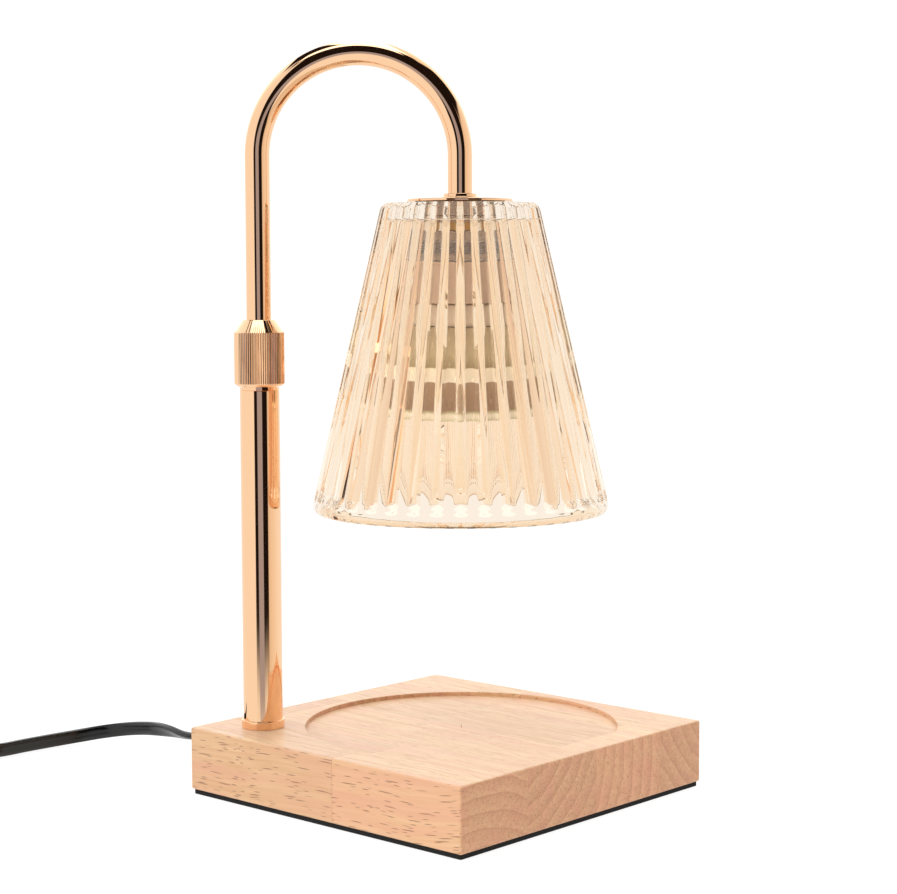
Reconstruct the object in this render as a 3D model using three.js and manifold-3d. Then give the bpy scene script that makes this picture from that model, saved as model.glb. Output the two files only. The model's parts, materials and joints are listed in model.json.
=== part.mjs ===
// Candle warmer lamp: a wooden base with a shallow recess for a candle, a hollow post with a gooseneck that
// slides and turns in it, a ribbed glass shade round a reflector bulb, and a lead with a dimmer and a plug.
// Millimetres, +Z up. The origin is the middle of the underside of the pad that the base stands on.
import * as THREE from "three";
import { mergeVertices } from "three/addons/utils/BufferGeometryUtils.js";
import Module from "manifold-3d";

const wasm = await Module();
wasm.setup();

// Fits: the gap between pieces, which is also a hole's clearance round a rod, and how far a cut overruns.
const gap = 0.3;
const overrun = 1;
const weldDistance = 0.0005;

// Base: a square wooden block on a soft pad, with a recess that holds the candle.
const padThickness = 2;
const padInset = 0.9;
const padCorner = 0.8;
const baseSide = 148;
const baseHeight = 25.5;
const baseEase = 0.9;
const baseCorner = 1.1;
const recessRadius = 63.6;
const recessDepth = 1.8;
const recessOffset = 4.2;

// Wiring pocket under the base, its far wall and the hole that the lead comes in by.
const pocketLeft = 66;
const pocketRight = 6;
const pocketFront = 66;
const pocketBack = 28;
const pocketDepth = 14.5;
const leadHoleRadius = 4.6;
const leadHoleY = -38;
const leadHoleHeight = 14.5;

// Post: the wide tube, on the base's diagonal, and the gooseneck that slides in it.
const postOffset = 53;
const postRadius = 8;
const postWall = 1.2;
const postLength = 136.5;
const armRadius = 5;
const armWall = 1;
const armInsert = 73;
const archHeight = 298.9;

// Shade: a pressed glass cone with rounded ribs, hung under the gooseneck's far leg.
const shadeDrop = 19.05;
const glassHeight = 124.2;
const glassTopRadius = 32.1;
const glassRimRadius = 60.7;
const glassWall = 3.3;
const glassTopThickness = 7;
const ribCount = 40;
const ribDepth = 1.3;

// Lead: a flat twin lead, its dimmer, the coil of what is spare, and its plug.
const leadWidth = 6;
const leadThickness = 3.3;
const coilMeanRadius = 34;
const coilPitch = 4.1;
const coilLayer = 6.8;
const coilTurns = 7;
const coilCentre = new THREE.Vector2(-119, -196);
const dimmerX = -184;
const dimmerY = -158;
const dimmerLength = 56;
const dimmerWidth = 26;
const dimmerHeight = 14;

// Places that follow from the sizes above.
const baseTop = padThickness + baseHeight;
const recessFloor = baseTop - recessDepth;
const pocketTop = padThickness + pocketDepth;
const armSpan = Math.SQRT2 * (postOffset + recessOffset);
const bendRadius = armSpan / 2;
const bendCentre = archHeight - bendRadius;
const glassTop = bendCentre - shadeDrop;
const glassRim = glassTop - glassHeight;

// Finishes.
const finish = (color, roughness, metalness = 0, more = {}) =>
  new THREE.MeshStandardMaterial({ color, roughness, metalness, ...more });
const roseGold = finish(0xe3a98c, 0.16, 1);
const satinSteel = finish(0xb9b8b5, 0.35, 1);
const brassMetal = finish(0xc9a24e, 0.35, 1);
const rubberwood = finish(0xd9ab7e, 0.55);
const foamRubber = finish(0x1d1c1b, 0.9);
const softRubber = finish(0x161616, 0.7);
const leadVinyl = finish(0x141414, 0.45);
const wireSilicone = finish(0xd8d5cc, 0.6);
const darkPlastic = finish(0x1a1a1b, 0.5);
const whiteNylon = finish(0xe4e1da, 0.5);
const champagneGlass = finish(0xf6d9b8, 0.08, 0, { transparent: true, opacity: 0.45 });
const clearGlass = finish(0xf4f1ea, 0.1, 0, { transparent: true, opacity: 0.5 });
const steatite = finish(0xcdb9a2, 0.6);
const cementWhite = finish(0xe0d6c8, 0.65);
const reflectorCoat = finish(0xcfc3b4, 0.2, 0.8);
const boardGreen = finish(0x2f5d43, 0.6);

// Geometry tools: every piece is made closed, with its faces pointing out.
const v = (x, y, z) => new THREE.Vector3(x, y, z);

function signedVolume(positions, corners) {
  const at = (i) => new THREE.Vector3().fromArray(positions, 3 * corners[i]);
  let six = 0;
  for (let i = 0; i < corners.length; i += 3) six += at(i).dot(at(i + 1).cross(at(i + 2)));
  return six / 6;
}

function solidOf(geometry) {
  const bare = geometry.index ? geometry.toNonIndexed() : geometry.clone();
  bare.deleteAttribute("normal");
  bare.deleteAttribute("uv");
  const merged = mergeVertices(bare, weldDistance);
  const positions = merged.attributes.position.array;
  const corners = [];
  for (let i = 0; i < merged.index.count; i += 3) {
    const [a, b, c] = [0, 1, 2].map((k) => merged.index.getX(i + k));
    if (a !== b && b !== c && c !== a) corners.push(a, b, c);
  }
  if (signedVolume(positions, corners) < 0) corners.reverse();
  return new wasm.Manifold(
    new wasm.Mesh({
      numProp: 3,
      vertProperties: new Float32Array(positions),
      triVerts: new Uint32Array(corners),
    }),
  );
}

function geometryOf(solid) {
  const mesh = solid.getMesh();
  return new THREE.BufferGeometry()
    .setAttribute("position", new THREE.BufferAttribute(new Float32Array(mesh.vertProperties), 3))
    .setIndex(new THREE.BufferAttribute(new Uint32Array(mesh.triVerts), 1));
}

const cut = (body, ...tools) =>
  geometryOf(tools.reduce((left, tool) => left.subtract(solidOf(tool)), solidOf(body)));
const join = (body, ...more) =>
  geometryOf(more.reduce((whole, piece) => whole.add(solidOf(piece)), solidOf(body)));
const common = (one, other) => geometryOf(solidOf(one).intersect(solidOf(other)));

// A solid turned about Z, from an outline of [radius, height] pairs that starts and ends on the axis.
const turned = (outline, sides) =>
  new THREE.LatheGeometry(
    outline.map(([radius, height]) => new THREE.Vector2(radius, height)),
    sides,
  ).rotateX(Math.PI / 2);
const turnedRing = (outline, sides) => turned([...outline, outline[0]], sides);
const ring = (outer, inner, low, high, sides) =>
  turnedRing(
    [
      [inner, low],
      [outer, low],
      [outer, high],
      [inner, high],
    ],
    sides,
  );
const rod = (radius, low, high, sides) =>
  turned(
    [
      [0, low],
      [radius, low],
      [radius, high],
      [0, high],
    ],
    sides,
  );

function block([x0, y0, z0], [x1, y1, z1]) {
  const box = new THREE.BoxGeometry(x1 - x0, y1 - y0, z1 - z0);
  return box.translate((x0 + x1) / 2, (y0 + y1) / 2, (z0 + z1) / 2);
}

function polygon(points) {
  return new THREE.Shape(points.map(([x, y]) => new THREE.Vector2(x, y)));
}

function roundedRectangle(width, depth, corner) {
  const [x, y] = [width / 2 - corner, depth / 2 - corner];
  const shape = new THREE.Shape();
  shape.absarc(x, y, corner, 0, Math.PI / 2);
  shape.absarc(-x, y, corner, Math.PI / 2, Math.PI);
  shape.absarc(-x, -y, corner, Math.PI, 1.5 * Math.PI);
  shape.absarc(x, -y, corner, 1.5 * Math.PI, 2 * Math.PI);
  return shape;
}

const prism = (shape, low, high, curveSegments = 4) =>
  new THREE.ExtrudeGeometry(shape, {
    depth: high - low,
    bevelEnabled: false,
    curveSegments,
  }).translate(0, 0, low);

// A prism whose top and bottom edges are rounded by the ease.
const easedPrism = (shape, low, high, ease, curveSegments = 4) =>
  new THREE.ExtrudeGeometry(shape, {
    depth: high - low - 2 * ease,
    bevelThickness: ease,
    bevelSize: ease,
    bevelOffset: -ease,
    bevelSegments: 2,
    curveSegments,
  }).translate(0, 0, low + ease);

// A path with one station per ring: its point, its direction, and where the section's wide side faces.
class StationPath extends THREE.Curve {
  constructor(stations) {
    super();
    this.stations = stations;
  }

  getPoint(share) {
    return this.stations[Math.round(share * (this.stations.length - 1))].at.clone();
  }

  getPointAt(share) {
    return this.getPoint(share);
  }

  computeFrenetFrames() {
    return {
      tangents: this.stations.map(({ along }) => along),
      normals: this.stations.map(({ wide }) => wide),
      binormals: this.stations.map(({ along, wide }) => along.clone().cross(wide)),
    };
  }
}

const swept = (section, stations) =>
  new THREE.ExtrudeGeometry(section, {
    steps: stations.length - 1,
    extrudePath: new StationPath(stations),
    bevelEnabled: false,
  });

function circle(radius, sides) {
  const corner = (k) => [
    radius * Math.cos((2 * Math.PI * k) / sides),
    radius * Math.sin((2 * Math.PI * k) / sides),
  ];
  return polygon(Array.from({ length: sides }, (_, k) => corner(k)));
}

// Stations evenly along a smooth curve through the points, with the wide side turned up from level by
// turn(share). Where the curve runs nearly upright, level is the X axis.
const steepShare = 0.1;
function stationsThrough(points, steps, turn = () => 0) {
  const curve = new THREE.CatmullRomCurve3(
    points.map(([x, y, z]) => v(x, y, z)),
    false,
    "centripetal",
  );
  return Array.from({ length: steps + 1 }, (_, k) => {
    const along = curve.getTangentAt(k / steps);
    const level = v(-along.y, along.x, 0);
    if (level.length() < steepShare) level.set(1, 0, 0);
    level.addScaledVector(along, -level.dot(along)).normalize();
    const wide = level.applyAxisAngle(along, turn(k / steps));
    return { at: curve.getPointAt(k / steps), along, wide };
  });
}

const group = new THREE.Group();

function place(parent, name, geometry, material) {
  const mesh = new THREE.Mesh(geometryOf(solidOf(geometry)), material);
  mesh.name = name;
  parent.add(mesh);
}

function subgroup(x, y, z = 0, turnZ = 0, parent = group) {
  const made = new THREE.Group();
  made.position.set(x, y, z);
  made.rotation.z = turnZ;
  parent.add(made);
  return made;
}

// Base block, pad and what is under them.
const footRingRadius = 8.7;
const footRingHeight = 3.4;
const footRingFloor = 1;
const footRingWall = 0.4;
const nippleRadius = 4.85;
const nippleWall = 1.35;
const nippleDrop = 7.5;
const postPlugHeight = 11.2;
const stemHole = nippleRadius + gap;
const stemWasherRadius = 10;
const stemWasherThickness = 1.2;
const stemNutAcrossFlats = 14;
const stemNutHeight = 4.5;
const screwRadius = 1.5;
const screwHeadRadius = 3;
const screwHeadHeight = 1.8;
const clampX = -38;
const clampWidth = 8;
const clampLength = 18;
const clampThickness = 3;
const clampScrewSpread = 6.2;
const clampScrewBite = 5.5;
const crimpRadius = 2.4;
const crimpLength = 15;
const crimpSpread = 3.4;
const crimpLeft = -28.4;
const crimpHeight = 13.6;
const bootLength = 24;
const bootFlangeRadius = 6.5;
const bootFlangeThickness = 2;
const bootThickRadius = 5;
const bootThinRadius = 3.95;

const nippleBottom = pocketTop - nippleDrop;
const stemWasherBottom = pocketTop - stemWasherThickness;
const stemNutBottom = stemWasherBottom - stemNutHeight;
const postBottom = baseTop + footRingFloor;
const postTop = postBottom + postLength;
const postBore = postRadius - postWall;
const postPlugBottom = postBottom + gap;
const postPlugTop = postPlugBottom + postPlugHeight;
const clampTop = leadHoleHeight - leadThickness / 2 - gap;
const clampBottom = clampTop - clampThickness;
const screwTop = pocketTop + clampScrewBite;
const bootTip = -baseSide / 2 - bootLength;
const innerLeadEnd = crimpLeft - gap;

const leadSection = (grow = 0) => {
  const [x, y] = [leadWidth / 2 + grow, leadThickness / 2 + grow];
  const innerShare = 0.62;
  const shoulderShare = 0.45;
  return polygon([
    [x, y * shoulderShare],
    [x * innerShare, y],
    [-x * innerShare, y],
    [-x, y * shoulderShare],
    [-x, -y * shoulderShare],
    [-x * innerShare, -y],
    [x * innerShare, -y],
    [x, -y * shoulderShare],
  ]);
};

// A straight length of a section, along X.
const alongX = (section, low, high) =>
  prism(section, low, high).rotateZ(Math.PI / 2).rotateY(Math.PI / 2);

function baseBlock() {
  const blank = easedPrism(
    roundedRectangle(baseSide, baseSide, baseCorner),
    padThickness,
    baseTop,
    baseEase,
    3,
  );
  const recess = rod(recessRadius, recessFloor, baseTop + overrun, 72);
  recess.translate(recessOffset, recessOffset, 0);
  const pocket = block(
    [-pocketLeft, -pocketFront, padThickness - overrun],
    [-pocketRight, -pocketBack, pocketTop],
  );
  const nippleHole = rod(stemHole, pocketTop - overrun, baseTop + overrun, 20);
  nippleHole.translate(-postOffset, -postOffset, 0);
  const leadHole = rod(leadHoleRadius, -baseSide / 2 - overrun, overrun - pocketLeft, 24);
  leadHole.rotateY(Math.PI / 2).translate(0, leadHoleY, leadHoleHeight);
  const screwHoles = [-1, 1].map((side) =>
    rod(screwRadius + gap, pocketTop - overrun, screwTop + gap, 12).translate(
      clampX,
      leadHoleY + side * clampScrewSpread,
      0,
    ),
  );
  return cut(blank, recess, pocket, nippleHole, leadHole, ...screwHoles);
}

place(group, "base_block", baseBlock(), rubberwood);

const padSide = baseSide - 2 * padInset;
place(group, "base_pad", prism(roundedRectangle(padSide, padSide, padCorner), 0, padThickness), foamRubber);

// The boot that the lead comes in by: a neck in the wood, a flange outside it and a tapered tail.
function leadBoot() {
  const wall = -baseSide / 2;
  const outline = [
    [0, bootTip],
    [bootThinRadius, bootTip],
    [bootThickRadius, wall - gap - bootFlangeThickness],
    [bootFlangeRadius, wall - gap - bootFlangeThickness],
    [bootFlangeRadius, wall - gap],
    [leadHoleRadius - gap, wall - gap],
    [leadHoleRadius - gap, -pocketLeft],
    [0, -pocketLeft],
  ];
  const body = turned(outline, 20).rotateY(Math.PI / 2);
  return cut(body, alongX(leadSection(gap), bootTip - overrun, overrun - pocketLeft));
}
const entry = subgroup(0, leadHoleY, leadHoleHeight);
place(entry, "lead_boot", leadBoot(), softRubber);
place(entry, "lead_end_in_base", alongX(leadSection(), bootTip, innerLeadEnd), leadVinyl);

function clampBar() {
  const bar = block(
    [clampX - clampWidth / 2, leadHoleY - clampLength / 2, clampBottom],
    [clampX + clampWidth / 2, leadHoleY + clampLength / 2, clampTop],
  );
  const holes = [-1, 1].map((side) =>
    rod(screwRadius + gap, clampBottom - overrun, clampTop + overrun, 12).translate(
      clampX,
      leadHoleY + side * clampScrewSpread,
      0,
    ),
  );
  return cut(bar, ...holes);
}
place(group, "lead_clamp", clampBar(), darkPlastic);

const panHeadScrew = (headRadius, shankRadius, headLow, headHigh, tip) =>
  turned(
    [
      [0, headLow],
      [headRadius, headLow],
      [headRadius, headHigh],
      [shankRadius, headHigh],
      [shankRadius, tip],
      [0, tip],
    ],
    12,
  );
[-1, 1].forEach((side, index) => {
  const at = subgroup(clampX, leadHoleY + side * clampScrewSpread);
  const headTop = clampBottom - gap;
  const screw = panHeadScrew(screwHeadRadius, screwRadius, headTop - screwHeadHeight, headTop, screwTop);
  place(at, `clamp_screw_${index + 1}`, screw, satinSteel);
});

[-1, 1].forEach((side, index) => {
  const at = subgroup(crimpLeft, leadHoleY + side * crimpSpread, crimpHeight);
  const crimp = rod(crimpRadius, 0, crimpLength, 12).rotateY(Math.PI / 2);
  place(at, `crimp_connector_${index + 1}`, crimp, whiteNylon);
});

// The two wires from the crimps, under the stem and up through it. Their points are from the stem's axis.
const wireRadius = 0.85;
const wireSpread = 1.3;
const wireTop = postPlugTop - gap;
const crimpRight = crimpLeft + crimpLength + gap;
const linePoints = [
  [crimpRight + postOffset, leadHoleY - crimpSpread + postOffset, crimpHeight],
  [42.6, 10.4, 13],
  [43.6, 6.6, 11.4],
  [39.5, 1.6, 9],
  [28, -1.6, 6.3],
  [13, -1.2, 4.6],
  [4.2, -0.3, 5.2],
  [wireSpread, 0, 8.6],
  [wireSpread, 0, 14],
  [wireSpread, 0, wireTop],
];
const neutralPoints = [
  [crimpRight + postOffset, leadHoleY + crimpSpread + postOffset, crimpHeight],
  [43.4, 18, 12.9],
  [45.4, 11, 10.2],
  [41.5, -1.8, 7.3],
  [29, -7.6, 5.2],
  [12, -8.2, 4.2],
  [1.5, -5.2, 4.3],
  [-wireSpread, -1.4, 6.6],
  [-wireSpread, 0, 12],
  [-wireSpread, 0, wireTop],
];
const stem = subgroup(-postOffset, -postOffset);
const wireSection = circle(wireRadius, 6);
place(stem, "line_wire", swept(wireSection, stationsThrough(linePoints, 30)), wireSilicone);
place(stem, "neutral_wire", swept(wireSection, stationsThrough(neutralPoints, 30)), wireSilicone);

// The hollow stem that holds the post down, with its washer, nut, foot ring and the plug in the post.
const nippleBore = nippleRadius - nippleWall;
const hexagon = (acrossFlats) => circle(acrossFlats / Math.sqrt(3), 6);
place(stem, "stem_nipple", ring(nippleRadius, nippleBore, nippleBottom, wireTop, 20), brassMetal);
place(stem, "stem_washer", ring(stemWasherRadius, stemHole, stemWasherBottom, pocketTop, 20), satinSteel);
const stemNut = cut(
  prism(hexagon(stemNutAcrossFlats), stemNutBottom, stemWasherBottom),
  rod(stemHole, stemNutBottom - overrun, stemWasherBottom + overrun, 20),
);
place(stem, "stem_nut", stemNut, brassMetal);
const footRing = turnedRing(
  [
    [stemHole, baseTop],
    [footRingRadius, baseTop],
    [footRingRadius, baseTop + footRingHeight],
    [footRingRadius - footRingWall, baseTop + footRingHeight],
    [footRingRadius - footRingWall, postBottom],
    [stemHole, postBottom],
  ],
  32,
);
place(stem, "foot_ring", footRing, roseGold);
place(stem, "post_tube", ring(postRadius, postBore, postBottom, postTop, 32), roseGold);
place(stem, "post_plug", ring(postBore - gap, stemHole, postPlugBottom, postPlugTop, 24), brassMetal);

// The lock at the top of the post: a threaded ferrule, a split collet and the knurled collar that closes it.
const ferruleInsert = 8;
const ferruleFlange = 1.2;
const threadRadius = 7;
const threadLength = 14.8;
const armBore = armRadius + gap;
const colletHeight = 6.2;
const colletThickRadius = 6.6;
const colletThinRadius = 5.95;
const colletSlit = 1.2;
const collarRadius = 10.05;
const collarHeight = 26.6;
const collarChamfer = 1;
const collarConeHeight = 5.3;
const collarMouthRadius = 6.35;
const knurlRidges = 44;
const knurlDepth = 0.35;
const ferruleTop = postTop + ferruleFlange + threadLength;
const colletBottom = ferruleTop + gap;
const colletTop = colletBottom + colletHeight;
const collarBottom = postTop + ferruleFlange + gap;
const collarTop = collarBottom + collarHeight;
const collarConeBottom = collarTop - collarConeHeight;

const ferrule = turnedRing(
  [
    [armBore, postTop - ferruleInsert],
    [postBore - gap, postTop - ferruleInsert],
    [postBore - gap, postTop],
    [postRadius, postTop],
    [postRadius, postTop + ferruleFlange],
    [threadRadius, postTop + ferruleFlange],
    [threadRadius, ferruleTop],
    [armBore, ferruleTop],
  ],
  20,
);
place(stem, "collar_ferrule", ferrule, roseGold);

const colletCone = turnedRing(
  [
    [armBore, colletBottom],
    [colletThickRadius, colletBottom],
    [colletThinRadius, colletTop],
    [armBore, colletTop],
  ],
  24,
);
const colletSlot = block(
  [0, -colletSlit / 2, colletBottom - overrun],
  [colletThickRadius + overrun, colletSlit / 2, colletTop + overrun],
);
place(stem, "clamp_collet", cut(colletCone, colletSlot), whiteNylon);

// A turned solid whose outer faces between two heights are drawn in by the given depth between its ridges.
function ridged(geometry, ridges, depthAt) {
  const points = geometry.attributes.position;
  const pitch = (2 * Math.PI) / ridges;
  for (let i = 0; i < points.count; i += 1) {
    const [x, y, z] = [points.getX(i), points.getY(i), points.getZ(i)];
    const turn = Math.atan2(x, -y) / pitch;
    const radius = Math.hypot(x, y);
    const scale = radius > 0 ? 1 - depthAt(radius, z, turn - Math.round(turn)) / radius : 1;
    points.setXY(i, x * scale, y * scale);
  }
  return geometry;
}

function lockCollar() {
  const knurlBottom = collarBottom + collarChamfer;
  const sleeveBore = threadRadius + gap;
  const outside = turned(
    [
      [0, collarBottom],
      [collarRadius - collarChamfer, collarBottom],
      [collarRadius, knurlBottom],
      [collarRadius, collarConeBottom],
      [collarMouthRadius, collarTop],
      [0, collarTop],
    ],
    2 * knurlRidges,
  );
  const edge = collarRadius - collarChamfer / 2;
  const knurl = (radius, z, phase) => (radius > edge && Math.abs(phase) > 1 / 4 ? knurlDepth : 0);
  const inside = turned(
    [
      [0, collarBottom - overrun],
      [sleeveBore, collarBottom - overrun],
      [sleeveBore, ferruleTop + gap],
      [colletThickRadius + gap, ferruleTop + gap],
      [colletThinRadius + gap, colletTop],
      [armBore, colletTop + gap],
      [armBore, collarTop + overrun],
      [0, collarTop + overrun],
    ],
    24,
  );
  return cut(ridged(outside, knurlRidges, knurl), inside);
}
place(stem, "lock_collar", lockCollar(), roseGold);

// The gooseneck, from inside the post, over the arch and down into the lamp head.
const armBottom = postTop - armInsert;
const armSweepSteps = 18;
const headCapTopWall = 2.5;

const washerThickness = 1;
const headNutHeight = 3.2;
const headNutAcrossFlats = 14;
const headWasherRadius = 12;
const headCapHeight = 11.9;
const holderHeight = 16.7;
const glassInnerTop = glassTop - glassTopThickness;
const headWasherBottom = glassInnerTop - washerThickness;
const headNutBottom = headWasherBottom - headNutHeight;
const headCapTop = headNutBottom - gap;
const headCapBottom = headCapTop - headCapHeight;
const holderShoulder = headCapBottom - gap;
const holderBottom = holderShoulder - holderHeight;
const armTip = headCapTop - headCapTopWall - gap;

// Stations of the gooseneck's centreline between two heights, in the upright plane through both of its legs.
function gooseneckStations(start, end) {
  const across = v(Math.SQRT1_2, Math.SQRT1_2, 0);
  const wide = v(Math.SQRT1_2, -Math.SQRT1_2, 0);
  const up = v(0, 0, 1);
  const station = (reach, height, angle) => ({
    at: across.clone().multiplyScalar(reach).addScaledVector(up, height),
    along: up.clone().multiplyScalar(Math.cos(angle)).addScaledVector(across, Math.sin(angle)),
    wide,
  });
  const arch = Array.from({ length: armSweepSteps + 1 }, (_, k) => {
    const angle = (Math.PI * k) / armSweepSteps;
    return station(
      bendRadius * (1 - Math.cos(angle)),
      bendCentre + bendRadius * Math.sin(angle),
      angle,
    );
  });
  return [station(0, start, 0), ...arch, station(armSpan, end, Math.PI)];
}

function armTube() {
  const section = circle(armRadius, 16);
  section.holes.push(circle(armRadius - armWall, 8));
  return swept(section, gooseneckStations(armBottom, armTip));
}
place(stem, "arm_tube", armTube(), roseGold);

// The bush that guides the gooseneck's lower end in the post, between two clips on the tube.
const clipHeight = 1.4;
const clipWidth = 1;
const clipLift = 1.3;
const bushHeight = 12;
const lowerClipBottom = armBottom + clipLift;
const bushBottom = lowerClipBottom + clipHeight + gap;
const upperClipBottom = bushBottom + bushHeight + gap;
const guideBush = ring(postBore - gap, armBore, bushBottom, bushBottom + bushHeight, 24);
place(stem, "guide_bush", guideBush, whiteNylon);
const armClip = (low) => ring(armBore + clipWidth, armBore - gap / 2, low, low + clipHeight, 20);
place(stem, "arm_clip_lower", armClip(lowerClipBottom), satinSteel);
place(stem, "arm_clip_upper", armClip(upperClipBottom), satinSteel);

// The lead inside: coiled loosely in the post, so that the gooseneck can rise, then through the gooseneck.
const innerLeadRadius = 1.6;
const innerLeadDrop = 1;
const slackRadius = 3.9;
const slackTurns = 6;
const slackStepsPerTurn = 8;
const slackBottom = wireTop + gap;
const slackTop = armBottom - innerLeadDrop - gap;

function slackLead() {
  const steps = slackTurns * slackStepsPerTurn;
  const rise = slackTop - slackBottom - 2 * innerLeadRadius;
  const pointAt = (share) => {
    const turn = 2 * Math.PI * slackTurns * share;
    const [x, y] = [slackRadius * Math.cos(turn), slackRadius * Math.sin(turn)];
    return v(x, y, slackBottom + innerLeadRadius + rise * share);
  };
  const stations = Array.from({ length: steps + 1 }, (_, k) => {
    const turn = (2 * Math.PI * k) / slackStepsPerTurn;
    const slope = rise / (2 * Math.PI * slackTurns);
    const along = v(-slackRadius * Math.sin(turn), slackRadius * Math.cos(turn), slope).normalize();
    return { at: pointAt(k / steps), along, wide: v(-Math.cos(turn), -Math.sin(turn), 0) };
  });
  return swept(circle(innerLeadRadius, 5), stations);
}
place(stem, "slack_lead", slackLead(), wireSilicone);

const spigotHeight = 6.3;
const armLeadEnd = holderShoulder + spigotHeight + gap;
const armLeadStations = gooseneckStations(armBottom - innerLeadDrop, armLeadEnd);
place(stem, "arm_lead", swept(circle(innerLeadRadius, 6), armLeadStations), wireSilicone);

// The lamp head. Everything here is round the shade's axis, from the nut on top down to the bulb.
const head = subgroup(recessOffset, recessOffset);
const gasketThickness = 0.6;
const gasketRadius = 18;
const plateThickness = 1;
const plateRadius = 21.5;
const hubFlangeRadius = 7.8;
const hubFlangeHeight = 0.9;
const hubRadius = 6.7;
const hubHeight = 2.2;
const glassHoleRadius = 5.9;
const plateBottom = glassTop + gasketThickness;
const hubBottom = plateBottom + plateThickness;

const topHub = turnedRing(
  [
    [armBore, hubBottom],
    [hubFlangeRadius, hubBottom],
    [hubFlangeRadius, hubBottom + hubFlangeHeight],
    [hubRadius, hubBottom + hubFlangeHeight],
    [hubRadius, hubBottom + hubHeight],
    [armBore, hubBottom + hubHeight],
  ],
  24,
);
place(head, "top_hub", topHub, roseGold);
place(head, "shade_plate", ring(plateRadius, armBore, plateBottom, hubBottom, 36), roseGold);
place(head, "shade_gasket", ring(gasketRadius, armBore, glassTop, plateBottom, 20), softRubber);
place(head, "head_washer", ring(headWasherRadius, armBore, headWasherBottom, glassInnerTop, 20), satinSteel);
const headNut = cut(
  prism(hexagon(headNutAcrossFlats), headNutBottom, headWasherBottom),
  rod(armBore, headNutBottom - overrun, headWasherBottom + overrun, 20),
);
place(head, "head_nut", headNut, brassMetal);

// The glass: a cone with a thick top, whose ribs end in round beads at the rim.
const glassTopCorner = 1.9;
const rimBead = 8;
const rimRound = 3.2;
const rimDrawShare = 0.38;
const beadShare = 0.35;
function glassShade() {
  const slope = (glassRimRadius - glassTopRadius) / (glassHeight - glassTopCorner);
  const coneRadius = (z) => glassTopRadius + slope * (glassTop - glassTopCorner - z);
  const innerRadius = (z) => coneRadius(z) - ribDepth - glassWall;
  const [beadHigh, beadLow] = [glassRim + rimBead, glassRim + rimRound];
  const innerRim = glassRim + rimRound / 2;
  const drawnIn = (z) => coneRadius(z) - rimRound * rimDrawShare;
  const rimMiddle = (drawnIn(beadLow) + innerRadius(innerRim)) / 2;
  const outline = [
    [glassHoleRadius, glassTop],
    [glassHoleRadius, glassInnerTop],
    [innerRadius(glassInnerTop), glassInnerTop],
    [innerRadius(innerRim), innerRim],
    [rimMiddle - rimRound / 2, glassRim],
    [rimMiddle + rimRound * beadShare, glassRim],
    [drawnIn(beadLow) - rimRound * beadShare, glassRim + rimRound * beadShare],
    [drawnIn(beadLow), beadLow],
    [coneRadius(beadHigh), beadHigh],
    [glassTopRadius, glassTop - glassTopCorner],
    [glassTopRadius - glassTopCorner * beadShare, glassTop - glassTopCorner * beadShare],
    [glassTopRadius - glassTopCorner, glassTop],
  ];
  const outerFrom = (z) => innerRadius(z) + glassWall / 2;
  const rib = (radius, z, phase) => {
    const onOutside = radius > outerFrom(z) && z > glassRim;
    return onOutside && Math.abs(phase) > 1 / 4 ? ribDepth : 0;
  };
  return ridged(turnedRing(outline, 3 * ribCount), ribCount, rib);
}
place(head, "glass_shade", glassShade(), champagneGlass);

// The cap that screws on the gooseneck's end, and the holder that screws into the cap.
const capTopRadius = 14.6;
const capThreadRadius = 14.9;
const capLipRadius = 15.4;
const capLipHeight = 2.5;
const capNeckHeight = 3.9;
const capBore = 13;
const holderRadius = 15.5;
const holderCap = turnedRing(
  [
    [armBore, headCapTop],
    [armBore, headCapTop - headCapTopWall],
    [capBore, headCapTop - headCapTopWall],
    [capBore, headCapBottom],
    [capLipRadius, headCapBottom],
    [capLipRadius, headCapBottom + capLipHeight],
    [capThreadRadius, headCapBottom + capLipHeight],
    [capThreadRadius, headCapTop - capNeckHeight],
    [capTopRadius, headCapTop - capNeckHeight],
    [capTopRadius, headCapTop],
  ],
  24,
);
place(head, "holder_cap", holderCap, satinSteel);

// The bulb's pins and the keyhole slots that they turn in, from the wide end to the narrow one.
const pinSpread = 5;
const pinRadius = 1.5;
const pinHeadRadius = 2.5;
const pinShankLength = 4.7;
const pinHeadLength = 2;
const pinTwist = Math.PI / 6;
const slotFloor = 3.9;
const chamberTop = 10;
const contactHeight = 3;
const contactRadius = 1.9;
const pinFit = 0.4;

function arcSlot(halfWidth) {
  const [start, end] = [-pinTwist, 0];
  const shape = new THREE.Shape();
  const capAt = (angle, turn) =>
    shape.absarc(
      pinSpread * Math.cos(angle),
      pinSpread * Math.sin(angle),
      halfWidth,
      angle + turn,
      angle + turn + Math.PI,
    );
  shape.absarc(0, 0, pinSpread + halfWidth, start, end);
  capAt(end, 0);
  shape.absarc(0, 0, pinSpread - halfWidth, end, start, true);
  capAt(start, Math.PI);
  return shape;
}

function lampHolder() {
  const body = turned(
    [
      [0, holderBottom],
      [holderRadius, holderBottom],
      [holderRadius, holderShoulder],
      [capBore - gap, holderShoulder],
      [capBore - gap, holderShoulder + spigotHeight],
      [0, holderShoulder + spigotHeight],
    ],
    24,
  );
  const chamberBottom = holderBottom + slotFloor;
  const [low, high] = [holderBottom - overrun, chamberBottom + overrun];
  const half = (turn) => {
    const slot = prism(arcSlot(pinRadius + pinFit), low, high, 6);
    const chamber = prism(arcSlot(pinHeadRadius + pinFit), chamberBottom, holderBottom + chamberTop, 6);
    const mouth = rod(pinHeadRadius + pinFit, low, high, 16);
    mouth.translate(pinSpread * Math.cos(-pinTwist), pinSpread * Math.sin(-pinTwist), 0);
    return [slot, chamber, mouth].map((tool) => tool.rotateZ(turn));
  };
  return cut(body, ...half(0), ...half(Math.PI));
}
place(head, "lamp_holder", lampHolder(), steatite);
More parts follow.
